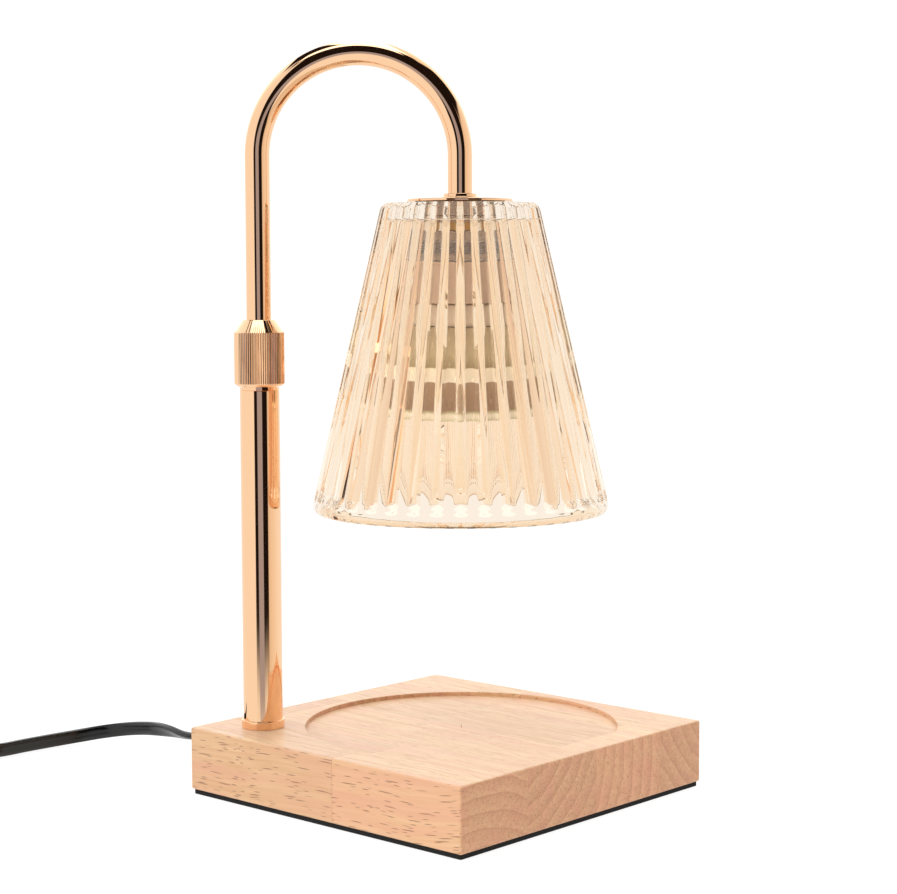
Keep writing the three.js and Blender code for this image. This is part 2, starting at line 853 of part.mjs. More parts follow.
const contactTop = holderBottom + chamberTop - gap;
[0, 1].forEach((index) => {
  const contact = rod(contactRadius, contactTop - contactHeight, contactTop, 12);
  contact.translate(index ? -pinSpread : pinSpread, 0, 0);
  place(head, `holder_contact_${index + 1}`, contact, brassMetal);
});

// The bulb: a ceramic base with two pins, a glass reflector, its front lens and the halogen capsule inside.
const bulbNeckHeight = 8.7;
const bulbNeckRadius = 13.4;
const reflectorWall = 1.2;
const reflectorRadius = 25;
const reflectorHeight = 36.4;
const reflectorRimHeight = 3.4;
const apexRadius = 6.4;
const apexDepth = 4.5;
const capsuleRadius = 5.2;
const capsuleLength = 22;
const lensThickness = 2;
const lensRecess = 0.8;
const bulbTop = holderBottom - gap;
const neckBottom = bulbTop - bulbNeckHeight;
const reflectorTop = neckBottom - gap;
const bulbRim = reflectorTop - reflectorHeight;

place(head, "bulb_base", rod(bulbNeckRadius, neckBottom, bulbTop, 24), cementWhite);
[0, 1].forEach((index) => {
  const pin = turned(
    [
      [0, bulbTop],
      [pinRadius, bulbTop],
      [pinRadius, bulbTop + pinShankLength],
      [pinHeadRadius, bulbTop + pinShankLength],
      [pinHeadRadius, bulbTop + pinShankLength + pinHeadLength],
      [0, bulbTop + pinShankLength + pinHeadLength],
    ],
    12,
  );
  pin.translate(index ? -pinSpread : pinSpread, 0, 0);
  place(head, `bulb_pin_${index + 1}`, pin, satinSteel);
});

function bulbReflector() {
  const heightShares = [0, 0.32, 0.54, 0.78, 1];
  const radiusShares = [bulbNeckRadius / reflectorRadius, 0.8, 0.92, 0.98, 1];
  const coneDepth = reflectorHeight - reflectorRimHeight;
  const outer = heightShares.map((share, k) => [
    radiusShares[k] * reflectorRadius - reflectorWall / 3,
    reflectorTop - share * coneDepth,
  ]);
  const inner = outer
    .map(([radius, z]) => [radius - reflectorWall, Math.min(z, reflectorTop - apexDepth)])
    .reverse();
  return turnedRing(
    [
      ...outer,
      [reflectorRadius, bulbRim + reflectorRimHeight],
      [reflectorRadius, bulbRim],
      [reflectorRadius - 2 * reflectorWall, bulbRim],
      ...inner,
      [apexRadius, reflectorTop - apexDepth],
      [apexRadius, reflectorTop],
    ],
    24,
  );
}
place(head, "bulb_reflector", bulbReflector(), reflectorCoat);
const lensRadius = reflectorRadius - 2 * reflectorWall - gap;
const lensBottom = bulbRim + lensRecess;
place(head, "bulb_lens", rod(lensRadius, lensBottom, lensBottom + lensThickness, 24), clearGlass);
const capsuleTop = reflectorTop;
const capsuleBottom = capsuleTop - capsuleLength;
const capsule = turned(
  [
    [0, capsuleBottom],
    [capsuleRadius / 2, capsuleBottom],
    [capsuleRadius, capsuleBottom + capsuleRadius / 2],
    [capsuleRadius, capsuleTop],
    [0, capsuleTop],
  ],
  16,
);
place(head, "bulb_capsule", capsule, clearGlass);

// The lead on the table: flat at the boot, on edge where it bends, and flat again at the dimmer.
const glandLength = 12;
const glandFlangeThickness = 1.4;
const glandThickRadius = 4.6;
const glandThinRadius = 3.9;
const glandNeckRadius = 3.8;
const dimmerMiddle = dimmerHeight / 2;
const glandReach = dimmerLength / 2 + glandLength + gap;
const coilOuterRadius = coilMeanRadius + (coilPitch * coilTurns) / 4;
const coilInnerRadius = coilMeanRadius - (coilPitch * coilTurns) / 4;
const tieThickness = 0.6;
const coilLow = tieThickness + gap + leadWidth / 2;
const coilHigh = coilLow + coilLayer;
const coilFront = coilCentre.y - coilOuterRadius;
const plugCordX = -85;
const plugLength = 27;
const plugWidth = 22;
const plugHeight = 15;

const leadPoints = [
  [bootTip - gap, leadHoleY, leadHoleHeight],
  [-108, -38, 12.6],
  [-119, -37.2, 11.1],
  [-131, -35.6, 10.8],
  [-143, -34.2, 9.9],
  [-154, -33.9, 8.5],
  [-164.5, -35.5, 6.8],
  [-173.5, -40.6, 5.1],
  [-179.6, -48.6, 3.8],
  [-182.8, -60, 3.3],
  [-184, -74, 3.3],
  [-184.3, -88, 3.4],
  [-184.2, -100, 4.5],
  [-184, -109, 6.3],
  [dimmerX, dimmerY + glandReach, dimmerMiddle],
];
const middlePoints = [
  [dimmerX, dimmerY - glandReach, dimmerMiddle],
  [-183.2, -207, 6.6],
  [-179.6, -216.6, 5.9],
  [-173, -225, 5.2],
  [-164.6, -231.5, 4.6],
  [-155, -235.3, 4.2],
  [-145, -236.7, 4],
  [-135, coilFront, coilLow],
  [coilCentre.x - leadWidth - gap, coilFront, coilLow],
];
const endPoints = [
  [coilCentre.x + leadWidth + gap, coilFront, coilHigh],
  [-107, coilFront, 10],
  [-100, coilFront, 8.9],
  [-93, coilFront, 7.9],
  [plugCordX - gap, coilFront, plugHeight / 2],
];

// How far the lead's wide side stands up, in turns from level, at shares of a stretch's length.
function turnThrough(shares, turns) {
  return (share) => {
    const k = Math.max(1, shares.findIndex((limit) => share <= limit));
    const part = (share - shares[k - 1]) / (shares[k] - shares[k - 1]);
    return 2 * Math.PI * THREE.MathUtils.lerp(turns[k - 1], turns[k], part);
  };
}
const leadShares = [0, 0.08, 0.3, 0.8, 1];
const shortShares = [0, 0.1, 0.9, 1];
function placeLead(name, points, steps, turn) {
  place(group, name, swept(leadSection(), stationsThrough(points, steps, turn)), leadVinyl);
}
placeLead("lead", leadPoints, 30, turnThrough(leadShares, [0, 0, 1 / 4, 1 / 4, 1 / 2]));
placeLead("lead_to_coil", middlePoints, 15, turnThrough(shortShares, [0, 0, 1 / 4, 1 / 4]));
placeLead("lead_to_plug", endPoints, 10, turnThrough(shortShares, [1 / 4, 1 / 4, 0, 0]));

// The coil: the lead on edge, spiralling in on the lower layer and out again on the upper one.
const coilStepsPerTurn = 24;
const coilClimbTurns = 0.5;

function coilStations() {
  const steps = coilTurns * coilStepsPerTurn;
  const pointAt = (turns) => {
    const radius = coilInnerRadius + coilPitch * Math.abs(turns - coilTurns / 2);
    const climbed = (turns - (coilTurns - coilClimbTurns) / 2) / coilClimbTurns;
    const angle = 2 * Math.PI * (turns - 1 / 4);
    return v(
      coilCentre.x + radius * Math.cos(angle),
      coilCentre.y + radius * Math.sin(angle),
      coilLow + coilLayer * THREE.MathUtils.smoothstep(climbed, 0, 1),
    );
  };
  const points = Array.from({ length: steps + 1 }, (_, k) => pointAt(k / coilStepsPerTurn));
  const straight = v(leadWidth, 0, 0);
  points.unshift(points[0].clone().sub(straight));
  points.push(points[points.length - 1].clone().add(straight));
  const last = points.length - 1;
  return points.map((at, k) => {
    const atEnd = k <= 1 || k >= last - 1;
    const along = atEnd ? straight.clone() : points[k + 1].clone().sub(points[k - 1]);
    along.normalize();
    const wide = v(0, 0, 1);
    wide.addScaledVector(along, -wide.dot(along)).normalize();
    return { at, along, wide };
  });
}

const coilSection = () => {
  const [x, y] = [leadWidth / 2, leadThickness / 2];
  const shoulderShare = 0.53;
  return [
    [x, 0],
    [x * shoulderShare, y],
    [-x * shoulderShare, y],
    [-x, 0],
    [-x * shoulderShare, -y],
    [x * shoulderShare, -y],
  ];
};

// The least gap between stretches of the coil that are over half a turn apart, from points on its faces.
function leastSelfGap(stations, section) {
  const pointsPerSide = 5;
  const ringPoints = stations.map(({ at, along, wide }) => {
    const thin = along.clone().cross(wide);
    return section.flatMap(([x0, y0], k) => {
      const [x1, y1] = section[(k + 1) % section.length];
      return Array.from({ length: pointsPerSide }, (_, i) => {
        const share = i / pointsPerSide;
        return at
          .clone()
          .addScaledVector(wide, THREE.MathUtils.lerp(x0, x1, share))
          .addScaledVector(thin, THREE.MathUtils.lerp(y0, y1, share));
      });
    });
  });
  const gapBetween = (one, other) =>
    Math.min(...one.map((p) => Math.min(...other.map((q) => p.distanceTo(q)))));
  const isNear = (i, j) => stations[i].at.distanceTo(stations[j].at) < 2 * leadWidth;
  let least = Infinity;
  for (let i = 0; i < stations.length; i += 1) {
    for (let j = i + coilStepsPerTurn / 2; j < stations.length; j += 1) {
      if (isNear(i, j)) least = Math.min(least, gapBetween(ringPoints[i], ringPoints[j]));
    }
  }
  return least;
}
const coil = coilStations();
console.log(`least gap in the coil ${leastSelfGap(coil, coilSection()).toFixed(2)} mm`);
place(group, "lead_coil", swept(polygon(coilSection()), coil), leadVinyl);

// A soft tie round the coil's bundle, at its right side.
const tieWidth = 8;
const tieSlack = 0.6;

function coilTie() {
  const [left, right] = [
    coilCentre.x + coilInnerRadius - leadThickness / 2 - tieSlack,
    coilCentre.x + coilOuterRadius + leadThickness / 2 + tieSlack,
  ];
  const [low, high] = [tieThickness, coilHigh + leadWidth / 2 + gap];
  const outside = block(
    [left - tieThickness, coilCentre.y - tieWidth / 2, low - tieThickness],
    [right + tieThickness, coilCentre.y + tieWidth / 2, high + tieThickness],
  );
  const inside = block(
    [left, coilCentre.y - tieWidth / 2 - overrun, low],
    [right, coilCentre.y + tieWidth / 2 + overrun, high],
  );
  return cut(outside, inside);
}
place(group, "coil_tie", coilTie(), softRubber);

// The dimmer on the lead: two shells screwed together round a board, a potentiometer and its thumb wheel.
const dimmer = subgroup(dimmerX, dimmerY);
const shellWall = 1.6;
const shellEase = 1.2;
const shellCorner = 6;
const wheelRadius = 10.5;
const wheelThickness = 4;
const wheelX = 5.5;
const wheelRidges = 24;
const wheelRidgeDepth = 0.5;
const wheelFit = 0.5;
const spindleRadius = 2.5;
const potRadius = 5;
const boardThickness = 1.2;
const boardWidth = 20;
const boardLength = 34;
const bossRadius = 3.4;
const bossX = -7.5;
const bossY = 21;
const dimmerScrewRadius = 1.2;
const dimmerScrewHeadRadius = 2.4;
const dimmerScrewHeadHeight = 1.3;
const dimmerScrewSink = 0.5;
const wheelBottom = dimmerMiddle - wheelThickness / 2;
const wheelTop = dimmerMiddle + wheelThickness / 2;
const boardBottom = shellWall + gap;
const boardTop = boardBottom + boardThickness;
const ceiling = dimmerHeight - shellWall;
const screwSeat = dimmerScrewSink + dimmerScrewHeadHeight + gap;

function dimmerShell(low, high) {
  const length = dimmerLength - 2 * shellWall;
  const width = dimmerWidth - 2 * shellWall;
  const outline = roundedRectangle(dimmerWidth, dimmerLength, shellCorner);
  const outside = easedPrism(outline, 0, dimmerHeight, shellEase, 3);
  const inside = prism(roundedRectangle(width, length, shellCorner - shellWall), shellWall, ceiling, 2);
  const slot = rod(wheelRadius + wheelFit, wheelBottom - wheelFit, wheelTop + wheelFit, 24);
  slot.translate(wheelX, 0, 0);
  const glandHoles = [-1, 1].map((end) =>
    rod(glandNeckRadius + gap, length / 2 - overrun, dimmerLength / 2 + overrun, 12)
      .rotateX((-end * Math.PI) / 2)
      .translate(0, 0, dimmerMiddle),
  );
  const bosses = [-1, 1].map((end) =>
    rod(bossRadius, shellWall / 2, dimmerHeight - shellWall / 2, 12).translate(bossX, end * bossY, 0),
  );
  const screwHoles = [-1, 1].map((end) =>
    turned(
      [
        [0, -overrun],
        [dimmerScrewHeadRadius + gap, -overrun],
        [dimmerScrewHeadRadius + gap, screwSeat],
        [dimmerScrewRadius + gap, screwSeat],
        [dimmerScrewRadius + gap, ceiling - overrun + gap],
        [0, ceiling - overrun + gap],
      ],
      10,
    ).translate(bossX, end * bossY, 0),
  );
  const keep = block(
    [-dimmerWidth, -dimmerLength, low],
    [dimmerWidth, dimmerLength, high],
  );
  const hollow = cut(outside, inside, ...glandHoles);
  return common(cut(join(hollow, ...bosses), slot, ...screwHoles), keep);
}
place(dimmer, "dimmer_lower_shell", dimmerShell(0, dimmerMiddle - gap / 2), darkPlastic);
place(dimmer, "dimmer_upper_shell", dimmerShell(dimmerMiddle + gap / 2, dimmerHeight), darkPlastic);

[1, -1].forEach((end, index) => {
  const inner = dimmerLength / 2 - shellWall - gap - glandFlangeThickness;
  const outer = dimmerLength / 2;
  const gland = turned(
    [
      [0, inner],
      [glandThickRadius, inner],
      [glandThickRadius, inner + glandFlangeThickness],
      [glandNeckRadius, inner + glandFlangeThickness],
      [glandNeckRadius, outer + gap],
      [glandThickRadius, outer + gap],
      [glandThinRadius, outer + glandLength],
      [0, outer + glandLength],
    ],
    16,
  );
  const at = subgroup(0, 0, dimmerMiddle, 0, dimmer);
  place(at, `dimmer_gland_${index + 1}`, gland.rotateX((-end * Math.PI) / 2), softRubber);
});

const board = block(
  [-boardWidth / 2, -boardLength / 2, boardBottom],
  [boardWidth / 2, boardLength / 2, boardTop],
);
place(dimmer, "dimmer_board", board, boardGreen);
const dial = subgroup(wheelX, 0, 0, 0, dimmer);
const potTop = wheelBottom - 2 * gap;
place(dial, "dimmer_potentiometer", rod(potRadius, boardTop, potTop, 16), satinSteel);
place(dial, "dimmer_spindle", rod(spindleRadius, potTop + gap, ceiling - gap, 12), whiteNylon);
const wheelBlank = rod(wheelRadius, wheelBottom, wheelTop, 2 * wheelRidges);
const wheelRidge = (radius, z, phase) =>
  radius > wheelRadius - overrun && Math.abs(phase) > 1 / 4 ? wheelRidgeDepth : 0;
const wheelHole = rod(spindleRadius + gap, wheelBottom - overrun, wheelTop + overrun, 12);
place(dial, "dimmer_wheel", cut(ridged(wheelBlank, wheelRidges, wheelRidge), wheelHole), darkPlastic);
[-1, 1].forEach((end, index) => {
  const at = subgroup(bossX, end * bossY, 0, 0, dimmer);
  const headHigh = dimmerScrewSink + dimmerScrewHeadHeight;
  const screw = panHeadScrew(
    dimmerScrewHeadRadius,
    dimmerScrewRadius,
    dimmerScrewSink,
    headHigh,
    ceiling - overrun,
  );
  place(at, `dimmer_screw_${index + 1}`, screw, satinSteel);
});

// The plug: a tapered body that the lead runs into and two flat blades.
const plugEntryWidth = 11;
const plugEntryHeight = 9;
const plugEase = 1.5;
const bladeSpacing = 12.7;
const bladeWidth = 6.3;
const bladeThickness = 1.5;
const bladeLength = 17;
const bladeHoleRadius = 1.5;
const bladeHoleInset = 4;
const plug = subgroup(plugCordX, coilFront, plugHeight / 2);

function plugBody() {
  const tapered = (wide, narrow) => {
    const waistShare = 0.5;
    const tailShare = 0.2;
    const waist = THREE.MathUtils.lerp(narrow, wide, waistShare) / 2;
    return polygon([
      [0, -narrow / 2],
      [plugLength * tailShare, -narrow / 2],
      [plugLength * waistShare, -waist],
      [plugLength * (1 - tailShare), -wide / 2],
      [plugLength, -wide / 2],
      [plugLength, wide / 2],
      [plugLength * (1 - tailShare), wide / 2],
      [plugLength * waistShare, waist],
      [plugLength * tailShare, narrow / 2],
      [0, narrow / 2],
    ]);
  };
  const [halfWidth, halfHeight] = [plugWidth / 2, plugHeight / 2];
  const fromAbove = easedPrism(tapered(plugWidth, plugEntryWidth), -halfHeight, halfHeight, plugEase);
  const fromSide = prism(tapered(plugHeight, plugEntryHeight), -halfWidth - overrun, halfWidth + overrun);
  return common(fromAbove, fromSide.rotateX(Math.PI / 2));
}
place(plug, "plug_body", plugBody(), darkPlastic);
[-1, 1].forEach((side, index) => {
  const middle = (side * bladeSpacing) / 2;
  const blade = block(
    [plugLength, middle - bladeThickness / 2, -bladeWidth / 2],
    [plugLength + bladeLength, middle + bladeThickness / 2, bladeWidth / 2],
  );
  const hole = rod(bladeHoleRadius, -bladeThickness, bladeThickness, 12).rotateX(Math.PI / 2);
  hole.translate(plugLength + bladeLength - bladeHoleInset, middle, 0);
  place(plug, `plug_blade_${index + 1}`, cut(blade, hole), brassMetal);
});

export default group;
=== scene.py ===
import json
import math

import bmesh
import bpy
import numpy as np
from mathutils import Matrix, Vector


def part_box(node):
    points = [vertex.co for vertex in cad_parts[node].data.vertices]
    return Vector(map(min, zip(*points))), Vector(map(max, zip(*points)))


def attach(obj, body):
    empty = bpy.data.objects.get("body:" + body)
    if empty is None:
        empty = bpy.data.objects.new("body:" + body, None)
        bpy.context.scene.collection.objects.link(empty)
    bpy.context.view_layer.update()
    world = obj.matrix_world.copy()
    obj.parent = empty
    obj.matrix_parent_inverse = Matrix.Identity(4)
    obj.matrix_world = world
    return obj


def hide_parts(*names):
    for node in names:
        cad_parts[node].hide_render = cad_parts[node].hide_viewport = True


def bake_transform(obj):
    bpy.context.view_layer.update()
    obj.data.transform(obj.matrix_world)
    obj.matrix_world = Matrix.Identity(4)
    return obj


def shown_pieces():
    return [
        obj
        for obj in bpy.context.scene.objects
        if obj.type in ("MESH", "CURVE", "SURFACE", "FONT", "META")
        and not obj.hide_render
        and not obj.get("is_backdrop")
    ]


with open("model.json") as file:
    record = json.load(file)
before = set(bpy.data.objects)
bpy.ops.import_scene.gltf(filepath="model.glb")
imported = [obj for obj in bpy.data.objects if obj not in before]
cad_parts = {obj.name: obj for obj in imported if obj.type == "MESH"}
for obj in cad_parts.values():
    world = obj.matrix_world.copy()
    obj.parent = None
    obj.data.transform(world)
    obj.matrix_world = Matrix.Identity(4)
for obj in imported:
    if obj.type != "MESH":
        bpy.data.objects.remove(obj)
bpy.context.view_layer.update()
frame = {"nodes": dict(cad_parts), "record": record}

bl_info = {
    "name": "Candle Warmer Lamp",
    "version": (1, 0, 0),
    "blender": (4, 5, 0),
    "location": "View3D > Sidebar > Candle Lamp",
    "description": "Dresses a candle warmer lamp in wood, rose gold plate and ribbed glass",
    "category": "Add Mesh",
}

MM = 0.001
FULL_TURN = 2 * math.pi
SHARP_ANGLE = math.radians(38)

# Room between pieces that are put together.
AIR = 0.3 * MM


def centre_of(name):
    """The middle of a node's box."""
    return tuple((low + high) / 2 for low, high in zip(*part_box(name)))


def radius_of(name):
    """Half the width of a round node."""
    low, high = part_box(name)
    return (high.x - low.x) / 2


POST_AXIS = centre_of("post_tube")[:2]
SHADE_AXIS = centre_of("glass_shade")[:2]
DIAL_AXIS = centre_of("dimmer_spindle")[:2]
RECESS_FLOOR = next(m for m in frame["record"]["mounts"] if m["name"] == "candle_seat")["pos_m"][2]


def linear(colour):
    """An sRGB hex colour as linear red, green, blue and alpha."""
    shares = [int(colour[k : k + 2], 16) / 255 for k in (1, 3, 5)]
    return [c / 12.92 if c <= 0.04045 else ((c + 0.055) / 1.055) ** 2.4 for c in shares] + [1.0]


def length_prop(name, description, default):
    """A length that the sidebar shows."""
    return bpy.props.FloatProperty(
        name=name, description=description, default=default, min=0.0, unit="LENGTH", precision=5
    )


def colour_prop(name, description, default):
    """A colour that the sidebar shows."""
    return bpy.props.FloatVectorProperty(
        name=name, description=description, default=linear(default), size=4, subtype="COLOR", min=0, max=1
    )


class LampSizes(bpy.types.PropertyGroup):
    """Sizes that a maker would change."""

    recess_radius: length_prop("Recess radius", "Round recess that the candle stands in", 63.6 * MM)
    wood_ease: length_prop("Wood ease", "How far the wood's edges are rounded", 0.9 * MM)
    wood_corner: length_prop("Wood corner", "Radius of the base's upright corners", 1.1 * MM)
    stave_width: length_prop("Stave width", "Width of the glued staves of the base", 41.5 * MM)
    rib_count: bpy.props.IntProperty(
        name="Glass ribs", description="Upright ribs round the glass", default=40, min=12, max=90
    )
    rib_turn: bpy.props.FloatProperty(
        name="Rib turn", description="Angle of the first rib", default=math.radians(1.4), subtype="ANGLE"
    )
    groove_depth: length_prop("Groove depth", "Depth of the V grooves round the glass, half-way up", 2.5 * MM)
    glass_wall: length_prop("Glass wall", "Glass from a rib's crown to the inside", 4.6 * MM)
    glass_top: length_prop("Glass top", "Thickness of the shade's flat top", 7 * MM)
    ridge_count: bpy.props.IntProperty(
        name="Collar ridges", description="Straight ridges round the collar", default=72, min=12, max=120
    )
    ridge_depth: length_prop("Ridge depth", "Depth of the collar's ridges", 0.28 * MM)
    thread_pitch: length_prop("Thread pitch", "Pitch of the thread on the holder's cap", 1 * MM)


class LampColours(bpy.types.PropertyGroup):
    """Colours that a maker would change."""

    plate: colour_prop("Plate", "Rose gold plate on the tubes", "#FDD0A6")
    glass: colour_prop("Glass", "What one wall of the pressed glass lets through", "#FEF3E4")
    wood_pale: colour_prop("Pale wood", "Early wood", "#EABE90")
    wood_deep: colour_prop("Deep wood", "Late wood between the rings", "#D09667")
    wood_ring: colour_prop("Wood rings", "Thin dark line at the end of each ring", "#BE855C")
    wood_pore: colour_prop("Wood pores", "Open pores, seen as brown dashes", "#8A5A3A")
    wood_blush: colour_prop("Wood blush", "Pinkish heartwood zones", "#E4A886")
    black_rubber: colour_prop("Rubber", "Pad, boot and sleeves", "#171615")
    lead: colour_prop("Lead", "Vinyl sheath of the lead", "#0C0B0A")
    dark_plastic: colour_prop("Dark plastic", "Dimmer and plug", "#19191A")
    steatite: colour_prop("Steatite", "Holder of the lamp", "#CDB5A6")


# Shapes: every piece is a skin over rings of points.
def skin(rings, closed=False):
    """Points and faces over rings of as many points each, capped at both ends or closed on themselves."""
    sides = len(rings[0])
    points = [tuple(point) for one in rings for point in one]
    faces = []
    for k in range(len(rings) if closed else len(rings) - 1):
        low, high = k * sides, (k + 1) % len(rings) * sides
        for i in range(sides):
            j = (i + 1) % sides
            faces.append((low + i, low + j, high + j, high + i))
    if not closed:
        faces.append(tuple(range(sides))[::-1])
        faces.append(tuple(range(len(points) - sides, len(points))))
    return points, faces


def rounded(corners, closed=True, steps=4):
    """An outline through (a, b, rounding) corners, each drawn as a short curve of that reach."""
    made = []
    for k, (a, b, rounding) in enumerate(corners):
        here = Vector((a, b))
        if not rounding or (not closed and k in (0, len(corners) - 1)):
            made.append(here)
            continue
        before = Vector(corners[k - 1][:2]) - here
        after = Vector(corners[(k + 1) % len(corners)][:2]) - here
        reach = min(rounding, before.length / 2, after.length / 2)
        start, end = here + before.normalized() * reach, here + after.normalized() * reach
        for step in range(steps + 1):
            share = step / steps
            made.append(start.lerp(here, share).lerp(here.lerp(end, share), share))
    return made


def turned(outline, sides, centre=(0, 0), closed=True, radius_at=None):
    """An outline of (radius, height) turned about an upright axis, and shaped by radius_at(radius, height,
    angle)."""
    rings = []
    for radius, height in outline:
        ring = []
        for k in range(sides):
            angle = FULL_TURN * k / sides
            reach = radius_at(radius, height, angle) if radius_at else radius
            ring.append((centre[0] + reach * math.cos(angle), centre[1] + reach * math.sin(angle), height))
        rings.append(ring)
    return skin(rings, closed)


def laid(shape, at, direction):
    """A shape made about +Z, moved so that Z runs in a level direction from a place."""
    points, faces = shape
    turn = Vector((0, 0, 1)).rotation_difference(Vector(direction))
    return [turn @ Vector(point) + Vector(at) for point in points], faces


def rounded_rectangle(width, depth, corner, steps=8):
    """Corner arcs of a rectangle, anticlockwise."""
    made = []
    for quarter, (x, y) in enumerate([(1, 1), (-1, 1), (-1, -1), (1, -1)]):
        middle_x, middle_y = x * (width / 2 - corner), y * (depth / 2 - corner)
        for step in range(steps + 1):
            angle = (quarter + step / steps) * FULL_TURN / 4
            made.append((middle_x + corner * math.cos(angle), middle_y + corner * math.sin(angle)))
    return made


def eased_block(width, depth, corner, low, high, ease, centre=(0, 0), steps=4):
    """A rounded upright block whose top and bottom edges are rounded by the ease."""
    levels = []
    for k in range(steps + 1):
        angle = FULL_TURN / 4 * k / steps
        levels.append((ease * (1 - math.sin(angle)), ease * (1 - math.cos(angle))))
    heights = [(inset, low + rise) for inset, rise in levels]
    heights += [(inset, high - rise) for inset, rise in levels[::-1]]
    rings = []
    for inset, height in heights:
        outline = rounded_rectangle(width - 2 * inset, depth - 2 * inset, max(corner - inset, corner / 4))
        rings.append([(centre[0] + x, centre[1] + y, height) for x, y in outline])
    return skin(rings)


def piece(name, shape):
    """A mesh object from points and faces."""
    points, faces = shape
    mesh = bpy.data.meshes.new(name)
    mesh.from_pydata([tuple(p) for p in points], [], faces)
    tidy = bmesh.new()
    tidy.from_mesh(mesh)
    bmesh.ops.remove_doubles(tidy, verts=tidy.verts, dist=0.001 * MM)
    bmesh.ops.recalc_face_normals(tidy, faces=tidy.faces)
    tidy.to_mesh(mesh)
    tidy.free()
    made = bpy.data.objects.new(name, mesh)
    bpy.context.scene.collection.objects.link(made)
    return made


def smooth(made):
    """Shades smooth between sharp edges, with large faces kept true to their own plane."""
    made.data.shade_smooth()
    made.data.set_sharp_from_angle(angle=SHARP_ANGLE)
    normals = made.modifiers.new("normals", "WEIGHTED_NORMAL")
    normals.keep_sharp = True
    normals.weight = 100


def carve(made, *shapes):
    """Cuts shapes out of a piece."""
    finish = made.data.materials[0]
    made.modifiers.clear()
    cutters = [piece("cutter", shape) for shape in shapes]
    for cutter in cutters:
        change = made.modifiers.new("carve", "BOOLEAN")
        change.object = cutter
        change.solver = "EXACT"
    graph = bpy.context.evaluated_depsgraph_get()
    made.data = bpy.data.meshes.new_from_object(made.evaluated_get(graph))
    made.data.materials.clear()
    made.data.materials.append(finish)
    made.modifiers.clear()
    smooth(made)
    for cutter in cutters:
        bpy.data.objects.remove(cutter)


# Paths: a smooth curve through points, and a flat section carried along it.
def ways_along(path):
    """The direction of a path at each of its points."""
    ways = np.gradient(path, axis=0)
    return ways / np.linalg.norm(ways, axis=1)[:, None]


def smooth_path(points, count):
    """Even points along a centripetal curve through the points, with their directions."""
    knots = np.array(points, float)
    knots = np.vstack([2 * knots[0] - knots[1], knots, 2 * knots[-1] - knots[-2]])
    fine = []
    for k in range(1, len(knots) - 2):
        four = knots[k - 1 : k + 3]
        times = np.concatenate([[0], np.cumsum(np.linalg.norm(np.diff(four, axis=0), axis=1) ** 0.5)])
        for time in np.linspace(times[1], times[2], 40, endpoint=k == len(knots) - 3):
            line = four
            for spans in (zip(times, times[1:]), zip(times, times[2:]), [(times[1], times[2])]):
                line = [
                    ((b - time) * near + (time - a) * far) / (b - a)
                    for (a, b), near, far in zip(spans, line, line[1:])
                ]
            fine.append(line[0])
    fine = np.array(fine)
    along = np.concatenate([[0], np.cumsum(np.linalg.norm(np.diff(fine, axis=0), axis=1))])
    even = np.linspace(0, along[-1], count)
    path = np.stack([np.interp(even, along, fine[:, axis]) for axis in range(3)], axis=1)
    return path, ways_along(path)


def flat_section(width, thickness, steps=28):
    """Outline of a flat twin lead: two cores side by side with a shallow groove between them."""
    made = []
    for k in range(steps):
        angle = FULL_TURN * (k + 0.5) / steps
        x = math.copysign(abs(math.cos(angle)) ** 0.8, math.cos(angle))
        y = math.copysign(abs(math.sin(angle)) ** 0.6, math.sin(angle))
        groove = 1 - 0.2 * math.exp(-((x / 0.16) ** 2))
        made.append((x * width / 2, y * thickness / 2 * groove))
    return made


def round_section(radius, sides):
    """Outline of a round tube or wire."""
    angles = [FULL_TURN * k / sides for k in range(sides)]
    return [(radius * math.cos(angle), radius * math.sin(angle)) for angle in angles]


def carried(section, path, ways, wides):
    """Rings of a section carried along a path, its first axis facing wide."""
    rings = []
    for at, way, wide in zip(path, ways, wides):
        thin = np.cross(way, wide)
        rings.append([tuple(at + x * wide + y * thin) for x, y in section])
    return rings


def twisted_sides(ways, shares, turns):
    """Where the lead's wide side faces: turned up from level by turns at shares of the length."""
    sides = []
    for k, way in enumerate(ways):
        level = np.array([-way[1], way[0], 0.0])
        level -= level.dot(way) * way
        level /= np.linalg.norm(level)
        angle = FULL_TURN * np.interp(k / (len(ways) - 1), shares, turns)
        sides.append(level * math.cos(angle) + np.cross(way, level) * math.sin(angle))
    return sides


# Materials: one small function adds a node.
def set_inputs(node, inputs):
    """Gives sockets a value, another node's output, or another node, whose first output in use is meant."""
    for name, value in inputs.items():
        if isinstance(value, bpy.types.Node):
            value = next(output for output in value.outputs if output.enabled)
        if isinstance(value, bpy.types.NodeSocket):
            node.id_data.links.new(value, node.inputs[name])
        else:
            node.inputs[name].default_value = value


def add_node(tree, kind, inputs=None, **settings):
    """Adds a shader node with its settings and links."""
    node = tree.nodes.new("ShaderNode" + kind)
    for name, value in settings.items():
        setattr(node, name, value)
    set_inputs(node, inputs or {})
    return node


def set_ramp(node, stops):
    """Gives a colour ramp its (place, colour) stops."""
    elements = node.color_ramp.elements
    while len(elements) > 1:
        elements.remove(elements[-1])
    elements[0].position, elements[0].color = stops[0]
    for place, colour in stops[1:]:
        elements.new(place).color = colour


def start_material(name, values):
    """A material with one Principled shader, and the position that its patterns are laid out by."""
    material = bpy.data.materials.new(name)
    material.use_nodes = True
    tree = material.node_tree
    tree.nodes.clear()
    shader = add_node(tree, "BsdfPrincipled", values)
    add_node(tree, "OutputMaterial", {"Surface": shader})
    return material, tree, shader, add_node(tree, "TexCoord").outputs["Object"]


